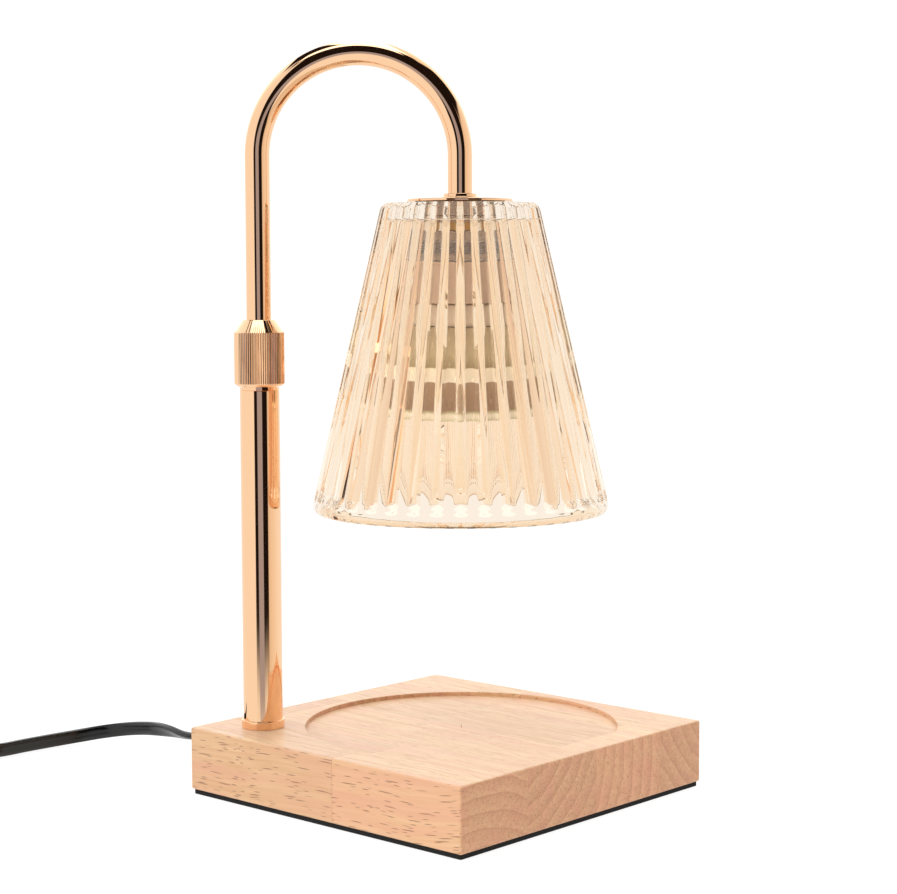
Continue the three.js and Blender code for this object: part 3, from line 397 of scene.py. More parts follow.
def grain(tree, where, period, detail=2.0, stretch=(1, 1, 1)):
    """Noise whose lumps are a period across, drawn out by stretch."""
    scaled = add_node(tree, "Mapping", {"Vector": where, "Scale": [1 / s for s in stretch]})
    return add_node(
        tree, "TexNoise", {"Vector": scaled, "Scale": 1 / period, "Detail": detail, "Roughness": 0.55}
    )


def span(value, low, high, start=0.3, end=0.7):
    """What a Map Range node's sockets hold to bring a pattern's values into a range."""
    return {"Value": value, "From Min": start, "From Max": end, "To Min": low, "To Max": high}


def vary(tree, shader, pattern, colour, darker, roughness, start=0.3, end=0.7):
    """Lets a pattern darken the colour a little and bring the roughness into a range."""
    deep = [c * darker for c in colour[:3]] + [1.0]
    tint = add_node(tree, "Mix", {"Factor": pattern, "A": deep, "B": list(colour)}, data_type="RGBA")
    sheen = add_node(tree, "MapRange", span(pattern, *roughness, start, end))
    set_inputs(shader, {"Base Color": tint, "Roughness": sheen})


def give_relief(tree, shader, height, depth):
    """Lets a height pattern of a real depth bend the shading."""
    bump = add_node(tree, "Bump", {"Height": height, "Distance": depth, "Strength": 1.0})
    set_inputs(shader, {"Normal": bump})


def rose_gold_plate(colours):
    """Polished rose gold plate on steel tube: a clear warm mirror with a trace of buffing."""
    material, tree, shader, where = start_material(
        "rose_gold_plate", {"Metallic": 1.0, "Base Color": colours.plate}
    )
    buffing = grain(tree, where, 9 * MM, 3.0, (1, 1, 3))
    set_inputs(shader, {"Roughness": add_node(tree, "MapRange", span(buffing, 0.03, 0.07))})
    give_relief(tree, shader, grain(tree, where, 2.5 * MM, 1.0), 0.0006 * MM)
    return material


def zinc_plated_steel():
    """Satin zinc plate on turned steel: grey with fine turning lines."""
    material, tree, shader, where = start_material("zinc_plated_steel", {"Metallic": 1.0})
    lines = grain(tree, where, 0.9 * MM, 2.0, (14, 14, 1))
    vary(tree, shader, lines, linear("#C2CEE0"), 0.82, (0.22, 0.36))
    give_relief(tree, shader, lines, 0.01 * MM)
    return material


def turned_brass():
    """Bare turned brass: yellow metal with tool marks and a little tarnish."""
    material, tree, shader, where = start_material("turned_brass", {"Metallic": 1.0})
    vary(tree, shader, grain(tree, where, 4 * MM, 3.0), linear("#DCC896"), 0.75, (0.24, 0.4))
    give_relief(tree, shader, grain(tree, where, 0.5 * MM, 1.0, (10, 10, 1)), 0.008 * MM)
    return material


def matt_black(name, colour, roughness, texture_size, texture_depth):
    """Black rubber, foam or plastic: a soft sheen broken by its moulded texture."""
    material, tree, shader, where = start_material(name, {"IOR": 1.5})
    texture = grain(tree, where, texture_size, 3.0)
    vary(tree, shader, texture, colour, 0.6, (roughness - 0.08, roughness + 0.08))
    give_relief(tree, shader, texture, texture_depth)
    return material


def foam_rubber(colours):
    """Closed-cell foam rubber: dull black with fine cells."""
    return matt_black("foam_rubber", colours.black_rubber, 0.9, 0.6 * MM, 0.12 * MM)


def moulded_rubber(colours):
    """Moulded soft rubber: matt black."""
    return matt_black("moulded_rubber", colours.black_rubber, 0.62, 0.7 * MM, 0.03 * MM)


def vinyl_sheath(colours):
    """Extruded vinyl: satin black that catches a long highlight."""
    return matt_black("vinyl_sheath", colours.lead, 0.22, 3 * MM, 0.01 * MM)


def spark_eroded_plastic(colours):
    """Black plastic moulded against a fine spark-eroded steel face: an even, fine matt grain."""
    return matt_black("spark_eroded_plastic", colours.dark_plastic, 0.48, 0.45 * MM, 0.03 * MM)


def natural_nylon():
    """Natural nylon: milky white that lets a little light in."""
    material, tree, shader, where = start_material("natural_nylon", {
        "IOR": 1.53, "Subsurface Weight": 0.15, "Subsurface Radius": (1 * MM, 0.8 * MM, 0.6 * MM),
    })
    vary(tree, shader, grain(tree, where, 3 * MM), linear("#E4E1DA"), 0.93, (0.42, 0.56))
    return material


def silicone_sleeve():
    """Silicone insulation: dull off-white."""
    material, tree, shader, where = start_material("silicone_sleeve", {"IOR": 1.43})
    vary(tree, shader, grain(tree, where, 2 * MM), linear("#D8D5CC"), 0.9, (0.55, 0.7))
    return material


def glass_fibre_board():
    """Green lacquered circuit board with the weave just showing."""
    material, tree, shader, where = start_material("glass_fibre_board", {"IOR": 1.5})
    weave = add_node(tree, "TexChecker", {"Vector": where, "Scale": 1 / (0.8 * MM)}).outputs["Fac"]
    vary(tree, shader, weave, linear("#2F5D43"), 0.85, (0.35, 0.45), 0, 1)
    return material


def fired_ceramic(name, colour):
    """Unglazed fired ceramic: matt, faintly speckled."""
    material, tree, shader, where = start_material(name, {"IOR": 1.6})
    speckle = grain(tree, where, 0.7 * MM, 4.0)
    vary(tree, shader, speckle, colour, 0.9, (0.45, 0.6))
    give_relief(tree, shader, speckle, 0.015 * MM)
    return material


def formed_glass(name, colour, roughness, wave, wave_depth, stretch=(1, 1, 1)):
    """Clear glass whose face waves a little, as it left the mould."""
    material, tree, shader, where = start_material(
        name, {"IOR": 1.5, "Roughness": roughness, "Transmission Weight": 1.0, "Base Color": colour}
    )
    give_relief(tree, shader, grain(tree, where, wave, 1.0, stretch), wave_depth)
    return material


def pressed_glass(colours):
    """Pressed glass with a champagne lustre: clear and a little wavy. It is tinted at its faces and not in
    its depth, so that two walls look warmer than one but the thick top stays clear."""
    return formed_glass("pressed_glass", colours.glass, 0.0, 14 * MM, 0.05 * MM, (1, 1, 4))


def clear_glass():
    """Clear lamp glass: thin and bright, with a faint stipple."""
    return formed_glass("clear_glass", linear("#FBFAF4"), 0.03, 1.6 * MM, 0.03 * MM)


def coated_reflector():
    """Reflector glass, coated inside: a shiny olive-brown, with painted reflections in bands by height: cream
    painted highlights and browner painted shade.
    """
    material, tree, shader, where = start_material("coated_reflector", {"Metallic": 0.2})
    low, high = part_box("bulb_reflector")
    height = add_node(tree, "SeparateXYZ", {"Vector": where}).outputs["Z"]
    share = add_node(tree, "MapRange", {"Value": height, "From Min": low.z, "From Max": high.z})
    # Painted reflections: over the coating's olive-brown, cream bands are painted highlights and browner
    # bands are painted shade, set by height.
    painted_reflection_shares = (
        (0.0, "#D6D8BA"), (0.04, "#FFFFF4"), (0.07, "#FFFFF4"), (0.09, "#CFD1B2"), (0.115, "#A18B79"),
        (0.415, "#AE9986"), (0.42, "#FFFFF6"), (0.565, "#FFFCEC"), (0.57, "#A49B7F"), (0.72, "#BFB59A"),
        (1.0, "#ADA18B"),
    )
    bands = add_node(tree, "ValToRGB", {"Fac": share})
    set_ramp(bands, [(place, linear(colour)) for place, colour in painted_reflection_shares])
    sheen = add_node(tree, "MapRange", span(grain(tree, where, 5 * MM), 0.16, 0.3))
    set_inputs(shader, {"Base Color": bands, "Roughness": sheen})
    return material


def rubberwood(sizes, colours):
    """Rubberwood staves, glued, sanded and matt lacquered: pale straw wood with short brown pore dashes along
    X, a pinker and darker end grain with curved rings, a top painted paler and bluer as painted light from
    above, and each stave in a shade of its own."""
    material, tree, shader, where = start_material("rubberwood", {
        "IOR": 1.5, "Coat Weight": 0.25, "Coat Roughness": 0.22,
    })
    stave_length, stagger, joint_at, glue_line = 190 * MM, 71 * MM, 7.8 * MM, 0.14 * MM
    cut_off = 4 * MM
    axes = add_node(tree, "SeparateXYZ", {"Vector": where}).outputs

    # Which stave a point is in, and how far it is from the glue line at the stave's end.
    first_edge = radius_of("base_block") + cut_off
    across = add_node(tree, "Math", {0: axes["Y"], 1: first_edge}, operation="ADD")
    row_place = add_node(tree, "Math", {0: across, 1: sizes.stave_width}, operation="DIVIDE")
    row = add_node(tree, "Math", {0: row_place}, operation="FLOOR")
    shifted = add_node(tree, "Math", {0: row, 1: stagger, 2: -joint_at}, operation="MULTIPLY_ADD")
    lengthwise = add_node(tree, "Math", {0: axes["X"], 1: shifted}, operation="ADD")
    end_place = add_node(tree, "Math", {0: lengthwise, 1: stave_length}, operation="DIVIDE")
    column = add_node(tree, "Math", {0: end_place}, operation="FLOOR")
    cell = add_node(tree, "CombineXYZ", {"X": row, "Y": column})
    chance = add_node(tree, "TexWhiteNoise", {"Vector": cell}).outputs
    joint_gap = add_node(tree, "Math", {0: lengthwise, 1: stave_length / 2}, operation="PINGPONG")
    joint = add_node(tree, "Math", {0: joint_gap, 1: glue_line}, operation="LESS_THAN")

    # The grain's own space: each stave is cut from another place, and the grain wanders and slopes a little.
    def swayed(start, period, detail, reach):
        sway = add_node(tree, "TexNoise", {"Vector": start, "Scale": 1 / period, "Detail": detail})
        return add_node(
            tree, "VectorMath", {0: sway.outputs["Color"], 1: (0, reach, reach), 2: start},
            operation="MULTIPLY_ADD",
        )

    stave_offset = (300 * MM, 50 * MM, 40 * MM)
    moved = add_node(
        tree, "VectorMath", {0: chance["Color"], 1: stave_offset, 2: where}, operation="MULTIPLY_ADD"
    )
    slope = (0, math.radians(2.5), math.radians(2))
    place = add_node(tree, "Mapping", {"Vector": swayed(moved, 55 * MM, 1.0, 8 * MM), "Rotation": slope})
    fibre = grain(tree, place, 1.6 * MM, 3.0, (40, 1, 1))
    broad = grain(tree, place, 9 * MM, 2.0, (12, 1, 1))

    # Rings: round the place where each stave's pith lay, kept as shares of a square this wide.
    pith_square = 300 * MM
    pith_shares = [(0.127, 0.127), (0.167, 0.517), (0.133, 0.44), (0.7, 0.533)]
    row_share = add_node(tree, "Math", {0: row_place, 1: len(pith_shares)}, operation="DIVIDE")
    pith = add_node(tree, "ValToRGB", {"Fac": row_share})
    pith.color_ramp.interpolation = "CONSTANT"
    set_ramp(pith, [(k / len(pith_shares), (0, y, z, 1)) for k, (y, z) in enumerate(pith_shares)])
    bent = swayed(where, 30 * MM, 2.0, 7 * MM)
    corner = (0, pith_square / 3, pith_square / 3)
    from_corner = add_node(tree, "VectorMath", {0: bent, 1: corner}, operation="ADD")
    to_pith = add_node(
        tree, "VectorMath", {0: pith, 1: (0, -pith_square, -pith_square), 2: from_corner},
        operation="MULTIPLY_ADD",
    )
    flat = add_node(tree, "VectorMath", {0: to_pith, 1: (0, 1, 1)}, operation="MULTIPLY")
    radius = add_node(tree, "VectorMath", {0: flat}, operation="LENGTH")
    year_growth = 6.2 * MM
    ring_year = add_node(tree, "Math", {0: radius, 1: year_growth}, operation="DIVIDE")
    ring_place = add_node(tree, "Math", {0: ring_year}, operation="FRACT")
    ring_shares = ((0.0, 0), (0.45, 0.35), (0.8, 0.6), (0.92, 1), (1.0, 0))
    ring = add_node(tree, "ValToRGB", {"Fac": ring_place})
    set_ramp(ring, [(at, (shade, shade, shade, 1)) for at, shade in ring_shares])

    # Pores: cells drawn out along the grain, some of which hold a dash.
    pores = []
    for length, width, size, share in ((19 * MM, 1 * MM, 0.25, 0.2), (10 * MM, 0.75 * MM, 0.25, 0.35)):
        stretched = add_node(tree, "Mapping", {"Vector": place, "Scale": (1 / length, 1 / width, 1 / width)})
        cells = add_node(tree, "TexVoronoi", {"Vector": stretched, "Scale": 1.0}).outputs
        held = add_node(tree, "SeparateColor", {"Color": cells["Color"]}).outputs[0]
        chosen = add_node(tree, "Math", {0: held, 1: share}, operation="GREATER_THAN")
        dash = add_node(tree, "MapRange", span(cells["Distance"], 1.0, 0.0, size * 0.55, size))
        pores.append(add_node(tree, "Math", {0: dash, 1: chosen}, operation="MULTIPLY"))
    pore = add_node(tree, "Math", {0: pores[0], 1: pores[1]}, operation="MAXIMUM")

    # How much a face is end grain, or the top.
    facing = add_node(tree, "NewGeometry").outputs["Normal"]
    faces = add_node(tree, "SeparateXYZ", {"Vector": facing}).outputs
    endways = add_node(tree, "Math", {0: faces["X"]}, operation="ABSOLUTE")
    end_grain = add_node(tree, "MapRange", span(endways, 0.0, 1.0, 0.6, 0.9))
    upright = add_node(tree, "MapRange", span(faces["Z"], 0.0, 1.0, 0.5, 0.9))

    # Colour, from the palest wood to the pores.
    def covered(body, pattern, depth, colour):
        factor = add_node(tree, "Math", {0: pattern, 1: depth}, operation="MULTIPLY")
        return add_node(tree, "Mix", {"Factor": factor, "A": body, "B": colour}, data_type="RGBA")

    def toned(body, factor, tone):
        other = add_node(tree, "VectorMath", {0: body, 1: tone}, operation="MULTIPLY")
        return add_node(tree, "Mix", {"Factor": factor, "A": body, "B": other}, data_type="RGBA")

    streak = add_node(tree, "MapRange", span(fibre, 0.0, 0.55))
    blush = add_node(tree, "MapRange", span(broad, 0.0, 0.7, 0.45, 0.7))
    ring_depth = add_node(tree, "MapRange", span(end_grain, 0.1, 0.52, 0, 1))
    stave_shade = add_node(tree, "MapRange", span(chance["Value"], 0.9, 1.06, 0, 1))
    pore_depth = add_node(tree, "MapRange", span(upright, 0.75, 0.35, 0, 1))
    body = covered(colours.wood_pale, streak, 1.0, colours.wood_deep)
    body = covered(body, blush, 1.0, colours.wood_blush)
    body = covered(body, ring, ring_depth, colours.wood_ring)
    body = add_node(tree, "VectorMath", {0: body, "Scale": stave_shade}, operation="SCALE")
    body = toned(body, end_grain, (0.939, 0.839, 0.835))
    # Painted light: faces that look up are painted paler and bluer, as light from above would show them.
    body = toned(body, upright, (0.99, 1.1, 1.26))
    body = covered(body, pore, pore_depth, colours.wood_pore)
    body = covered(body, joint, 0.35, colours.wood_pore)
    sheen = add_node(tree, "MapRange", span(fibre, 0.42, 0.56))
    set_inputs(shader, {"Base Color": body, "Roughness": sheen})
    height = add_node(tree, "Math", {0: pore, 1: -4.0, 2: fibre}, operation="MULTIPLY_ADD")
    give_relief(tree, shader, height, 0.02 * MM)
    return material


# The materials, under the names that the record's slots have for them.
FINISHES = {}


def mix_finishes(sizes, colours):
    """Makes every material once."""
    FINISHES.update(
        rose_gold=rose_gold_plate(colours),
        satin_steel=zinc_plated_steel(),
        brass=turned_brass(),
        rubberwood=rubberwood(sizes, colours),
        foam_rubber=foam_rubber(colours),
        soft_rubber=moulded_rubber(colours),
        lead_vinyl=vinyl_sheath(colours),
        silicone=silicone_sleeve(),
        dark_plastic=spark_eroded_plastic(colours),
        nylon=natural_nylon(),
        champagne_glass=pressed_glass(colours),
        clear_glass=clear_glass(),
        steatite=fired_ceramic("steatite", colours.steatite),
        lamp_cement=fired_ceramic("lamp_cement", linear("#E0D0C0")),
        reflector_glass=coated_reflector(),
        circuit_board=glass_fibre_board(),
    )


SLOTS = {part["node"]: part["material_slot"] for part in frame["record"]["subparts"]}


def dressed(name, shape, replaced, body="root"):
    """A piece in the finish that the record gives the first node it replaces."""
    made = piece(name, shape)
    smooth(made)
    slot = SLOTS[replaced[0]]
    made.data.materials.append(FINISHES[slot])
    if body:
        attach(made, body)
    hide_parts(*replaced)
    return made


def turned_piece(name, node, corners, axis, body="root", sides=96, closed=True, radius_at=None):
    """A piece turned from (radius, height, rounding) corners about an upright axis."""
    return dressed(name, turned(rounded(corners, closed), sides, axis, closed, radius_at), [node], body)


# The camera, as the photograph was taken.
PHOTO_WIDTH_PX = 897
FOCAL_LENGTH_PX = 2117.24
SENSOR_WIDTH_MM = 36.0
CAMERA_YAW = math.radians(-42.209)
CAMERA_PITCH = math.radians(5.032)
CAMERA_ROLL = math.radians(-0.177)
CAMERA_PLACE = Vector((574.578, -631.969, 216.471)) * MM


def camera_axes():
    """Right, up and forward of the camera."""
    forward = Vector((
        math.sin(CAMERA_YAW) * math.cos(CAMERA_PITCH),
        math.cos(CAMERA_YAW) * math.cos(CAMERA_PITCH),
        -math.sin(CAMERA_PITCH),
    ))
    level = Vector((math.cos(CAMERA_YAW), -math.sin(CAMERA_YAW), 0))
    upright = level.cross(forward)
    right = math.cos(CAMERA_ROLL) * level + math.sin(CAMERA_ROLL) * upright
    return right, right.cross(forward), forward


class LAMP_OT_camera(bpy.types.Operator):
    """Sets the camera where the photograph was taken from"""

    bl_idname = "lamp.camera"
    bl_label = "Camera"

    def execute(self, context):
        right, up, forward = camera_axes()
        camera = bpy.data.objects.new("camera", bpy.data.cameras.new("camera"))
        camera.data.sensor_width = SENSOR_WIDTH_MM
        camera.data.lens = SENSOR_WIDTH_MM * FOCAL_LENGTH_PX / PHOTO_WIDTH_PX
        turn = Matrix((right, up, -forward)).transposed().to_4x4()
        camera.matrix_world = Matrix.Translation(CAMERA_PLACE) @ turn
        context.scene.collection.objects.link(camera)
        context.scene.camera = camera
        return {"FINISHED"}


# The lead's route, in millimetres, as it lies on the table.
LEAD_WIDTH = 6 * MM
LEAD_THICKNESS = 3.3 * MM
TO_DIMMER_MM = [
    (-98.3, -38, 14.5), (-108, -38, 12.6), (-119, -37.2, 11.1), (-131, -35.6, 10.8), (-143, -34.2, 9.9),
    (-154, -33.9, 8.5), (-164.5, -35.5, 6.8), (-173.5, -40.6, 5.1), (-179.6, -48.6, 3.8), (-182.8, -60, 3.3),
    (-184, -74, 3.3), (-184.3, -88, 3.4), (-184.2, -100, 4.5), (-184, -109, 6.3), (-184, -117.7, 7),
]
TO_COIL_MM = [
    (-184, -198.3, 7), (-183.2, -207, 6.6), (-179.6, -216.6, 5.9), (-173, -225, 5.2), (-164.6, -231.5, 4.6),
    (-155, -235.3, 4.2), (-145, -236.7, 4), (-135, -237.175, 3.9), (-125.3, -237.175, 3.9),
]
TO_PLUG_MM = [
    (-112.7, -237.175, 10.7), (-107, -237.175, 10), (-100, -237.175, 8.9), (-93, -237.175, 7.9),
    (-85.3, -237.175, 7.5),
]
COIL_CENTRE_MM = (-119, -196)
COIL_TURNS = 7
COIL_INNER_MM = 26.825
COIL_PITCH_MM = 4.1
COIL_LOW_MM = 3.9
COIL_LAYER_MM = 6.8
COIL_CLIMB_TURNS = 0.5
COIL_STEPS = 72


def coil_points():
    """The coil: the lead on edge, spiralling in on the lower layer and out again on the upper one."""
    made = []
    for k in range(COIL_TURNS * COIL_STEPS + 1):
        turns = k / COIL_STEPS
        radius = COIL_INNER_MM + COIL_PITCH_MM * abs(turns - COIL_TURNS / 2)
        climbed = (turns - (COIL_TURNS - COIL_CLIMB_TURNS) / 2) / COIL_CLIMB_TURNS
        share = min(max(climbed, 0), 1)
        angle = FULL_TURN * (turns - 1 / 4)
        x, y = COIL_CENTRE_MM[0] + radius * math.cos(angle), COIL_CENTRE_MM[1] + radius * math.sin(angle)
        made.append((x, y, COIL_LOW_MM + COIL_LAYER_MM * share * share * (3 - 2 * share)))
    return made


class LAMP_OT_lead(bpy.types.Operator):
    """Lays the flat lead from the base to the dimmer, and from there through its coil to the plug"""

    bl_idname = "lamp.lead"
    bl_label = "Lead"

    def execute(self, context):
        section = flat_section(LEAD_WIDTH, LEAD_THICKNESS)
        path, ways = smooth_path(np.array(TO_DIMMER_MM) * MM, 110)
        wides = twisted_sides(ways, [0, 0.08, 0.3, 0.8, 1], [0, 0, 0.25, 0.25, 0.5])
        dressed("lead_to_dimmer", skin(carried(section, path, ways, wides)), ["lead"])

        start, start_ways = smooth_path(np.array(TO_COIL_MM) * MM, 60)
        start_wides = twisted_sides(start_ways, [0, 0.1, 0.9, 1], [0, 0, 0.25, 0.25])
        end, end_ways = smooth_path(np.array(TO_PLUG_MM) * MM, 24)
        end_wides = twisted_sides(end_ways, [0, 0.1, 0.9, 1], [0.25, 0.25, 0, 0])
        coil = np.array(coil_points()) * MM
        coil_ways = ways_along(coil)
        coil_ways[0] = coil_ways[-1] = (1, 0, 0)
        coil_wides = []
        for way in coil_ways:
            wide = np.array([0, 0, 1.0]) - way[2] * way
            coil_wides.append(wide / np.linalg.norm(wide))
        path = np.concatenate([start, coil, end])
        ways = np.concatenate([start_ways, coil_ways, end_ways])
        wides = [*start_wides, *coil_wides, *end_wides]
        replaced = ["lead_coil", "lead_to_coil", "lead_to_plug"]
        dressed("coiled_lead", skin(carried(section, path, ways, wides)), replaced)
        return {"FINISHED"}


class LAMP_OT_base(bpy.types.Operator):
    """Makes the wooden base with its round recess, and the pad under it"""

    bl_idname = "lamp.base"
    bl_label = "Wooden base"

    def execute(self, context):
        sizes = context.scene.lamp_sizes
        low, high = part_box("base_block")
        side = high.x - low.x
        wood = eased_block(side, side, sizes.wood_corner, low.z, high.z, sizes.wood_ease, steps=6)
        block = dressed("wooden_base", wood, ["base_block"])

        # The recess, a pocket from below, the stem's hole and the lead's.
        radius, chamfer, floor_soft, tip = sizes.recess_radius, 0.5 * MM, 0.25 * MM, 0.1 * MM
        mouth = high.z + chamfer / 2
        recess = rounded([
            (tip, RECESS_FLOOR, 0), (radius, RECESS_FLOOR, floor_soft), (radius, high.z - chamfer, 0),
            (radius + chamfer, mouth, 0), (tip, mouth, 0),
        ])
        pocket_low, pocket_high = Vector((-66, -66, 0)) * MM, Vector((-6, -28, 16.5)) * MM
        stem_hole = radius_of("stem_nipple") + AIR
        lead_hole, lead_hole_depth, overrun = 4.6 * MM, 30 * MM, 5 * MM
        lead_at = (low.x - overrun, *centre_of("lead_boot")[1:])
        carve(
            block,
            turned(recess, 180, SHADE_AXIS),
            box_shape(pocket_low, pocket_high),
            cylinder(stem_hole, 0, high.z * 2, 40, POST_AXIS),
            laid(cylinder(lead_hole, 0, lead_hole_depth, 40), lead_at, (1, 0, 0)),
        )

        low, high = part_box("base_pad")
        side, corner, ease = high.x - low.x, 0.8 * MM, 0.3 * MM
        dressed("foot_pad", eased_block(side, side, corner, low.z, high.z, ease), ["base_pad"])
        return {"FINISHED"}


def box_shape(low, high):
    """Points and faces of a plain box, for cutting with."""
    corners = [(low.x, low.y), (high.x, low.y), (high.x, high.y), (low.x, high.y)]
    return skin([[(x, y, z) for x, y in corners] for z in (low.z, high.z)])


def cylinder(radius, low, high, sides, axis=(0, 0)):
    """Points and faces of a plain cylinder, for cutting with."""
    return turned([(radius, low), (radius, high)], sides, axis, False)


def groove(radius, start, depth, floor, soft):
    """Corners of a groove round a rubber sleeve, with sloped sides."""
    side, floor_soft = 0.3 * MM, 0.2 * MM
    end = start + side + floor
    return [
        (radius, start, soft), (radius - depth, start + side, floor_soft), (radius - depth, end, floor_soft),
        (radius, end + side, soft),
    ]


class LAMP_OT_boot(bpy.types.Operator):
    """Makes the grooved strain relief where the lead leaves the base"""

    bl_idname = "lamp.boot"
    bl_label = "Strain relief"

    def execute(self, context):
        low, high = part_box("lead_boot")
        reach = high.x - low.x
        flange = (high.z - low.z) / 2
        flange_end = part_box("base_block")[0].x - low.x - AIR
        thin, thick, neck, tip = 3.95 * MM, 5 * MM, 4.3 * MM, 0.2 * MM
        flange_thickness, soft, nose_soft = 2 * MM, 0.3 * MM, 0.6 * MM
        tail = flange_end - flange_thickness
        outline = [(tip, 0, 0), (thin, 0, nose_soft)]
        for k in range(5):
            start = tail * (0.16 + 0.15 * k)
            outline += groove(thin + (thick - thin) * start / tail, start, 0.7 * MM, 1 * MM, soft)
        outline += [
            (thick, tail, soft), (flange, tail, nose_soft), (flange, flange_end, soft), (neck, flange_end, 0),
            (neck, reach, 0), (tip, reach, 0),
        ]
        shape = turned(rounded(outline, closed=False), 48, closed=False)
        at = (low.x, *centre_of("lead_boot")[1:])
        dressed("lead_strain_relief", laid(shape, at, (1, 0, 0)), ["lead_boot"])
        return {"FINISHED"}


class LAMP_OT_post(bpy.types.Operator):
    """Makes the post with its foot ring"""

    bl_idname = "lamp.post"
    bl_label = "Post"

    def execute(self, context):
        low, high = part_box("post_tube")
        post, wall, soft = radius_of("post_tube"), 1.2 * MM, 0.3 * MM
        turned_piece("post", "post_tube", [
            (post, low.z, 0), (post, high.z, soft), (post - wall, high.z, soft), (post - wall, low.z, 0),
        ], POST_AXIS)

        # A thin bowl: its lip stands against the post, and the wood inside is cleared.
        ring_low, ring_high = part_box("foot_ring")
        foot, bore = radius_of("foot_ring"), radius_of("stem_nipple") + AIR
        lip, inside = post + 0.03 * MM, foot - 0.4 * MM
        lip_drop, lip_thickness, fall = 0.1 * MM, 0.4 * MM, 0.4 * MM
        lip_top = ring_high.z - lip_drop
        turned_piece("post_foot_ring", "foot_ring", [
            (bore, ring_low.z, 0), (foot, ring_low.z, 0.25 * MM), (foot, ring_high.z, 0.35 * MM),
            (lip, lip_top, 0), (lip, lip_top - lip_thickness, 0),
            (inside, lip_top - lip_thickness - fall, 0), (inside, low.z, 0), (bore, low.z, 0),
        ], POST_AXIS)
        return {"FINISHED"}


class LAMP_OT_collar(bpy.types.Operator):
    """Makes the ridged collar that locks the gooseneck"""

    bl_idname = "lamp.collar"
    bl_label = "Locking collar"

    def execute(self, context):
        sizes = context.scene.lamp_sizes
        low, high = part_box("lock_collar")
        collet_low, collet_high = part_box("clamp_collet")
        radius = radius_of("lock_collar")
        mouth, bore, sleeve = 6.35 * MM, 5.3 * MM, 7.3 * MM
        collet_top, collet_foot = 6.25 * MM, 6.9 * MM
        cone_height, chamfer, lip = 5.3 * MM, 1 * MM, 0.25 * MM
        cone_bottom = high.z - cone_height
        slope = (radius - mouth) / cone_height
        outline = [
            (sleeve, low.z, 0), (radius - chamfer, low.z, 0.15 * MM), (radius, low.z + chamfer, 0.4 * MM),
            (radius, (low.z + cone_bottom) / 2, 0),
        ]
        steps = 8
        for k in range(steps + 1):
            drop = sizes.ridge_depth * k / steps
            outline.append((radius - drop, cone_bottom + drop / slope, 0))
        outline += [
            (mouth + lip, high.z - lip / slope, 0.1 * MM), (mouth, high.z, 0.15 * MM),
            (bore, high.z, 0.2 * MM), (bore, collet_high.z + AIR, 0), (collet_top, collet_high.z, 0),
            (collet_foot, collet_low.z, 0), (sleeve, collet_low.z, 0),
        ]

        def ridged(reach, height, angle):
            if reach < sleeve + 0.5 * MM:
                return reach
            return min(reach, radius - sizes.ridge_depth * (0.5 - 0.5 * math.cos(angle * sizes.ridge_count)))

        sides = sizes.ridge_count * 8
        turned_piece(
            "knurled_collar", "lock_collar", outline, POST_AXIS, "lock_collar", sides, radius_at=ridged
        )
        return {"FINISHED"}


class LAMP_OT_gooseneck(bpy.types.Operator):
    """Makes the bent tube from the post over to the shade"""

    bl_idname = "lamp.gooseneck"
    bl_label = "Gooseneck"

    def execute(self, context):
        low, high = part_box("arm_tube")
        radius, wall, steps, sides = 5 * MM, 1 * MM, 120, 64
        below_nut = 3.1 * MM
        bend = (Vector(SHADE_AXIS) - Vector(POST_AXIS)).length / 2
        across = Vector((math.sqrt(0.5), math.sqrt(0.5), 0))
        start = Vector((*POST_AXIS, low.z))
        middle = start + across * bend
        middle.z = high.z - radius - bend
        path, ways = [start], [Vector((0, 0, 1))]
        for k in range(steps + 1):
            angle = math.pi * k / steps
            path.append(middle - across * bend * math.cos(angle) + Vector((0, 0, bend * math.sin(angle))))
            ways.append(Vector((0, 0, math.cos(angle))) + across * math.sin(angle))
        hub_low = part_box("top_hub")[0].z
        for height in (hub_low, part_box("head_nut")[0].z - below_nut):
            path.append(Vector((*SHADE_AXIS, height)))
            ways.append(Vector((0, 0, -1)))
        path, ways = np.array(path), np.array(ways)
        wides = [np.array((math.sqrt(0.5), -math.sqrt(0.5), 0))] * len(path)
        outer = carried(round_section(radius, sides), path, ways, wides)
        inner = carried(round_section(radius - wall, sides), path, ways, wides)
        tube = dressed("gooseneck", skin([*outer, *inner[::-1]], closed=True), ["arm_tube"], "arm")

        # The end that the nut and the cap screw on is bare steel.
        tube.data.materials.append(FINISHES["satin_steel"])
        for face in tube.data.polygons:
            if face.center.z < hub_low and face.center.x > -SHADE_AXIS[0]:
                face.material_index = 1
        return {"FINISHED"}


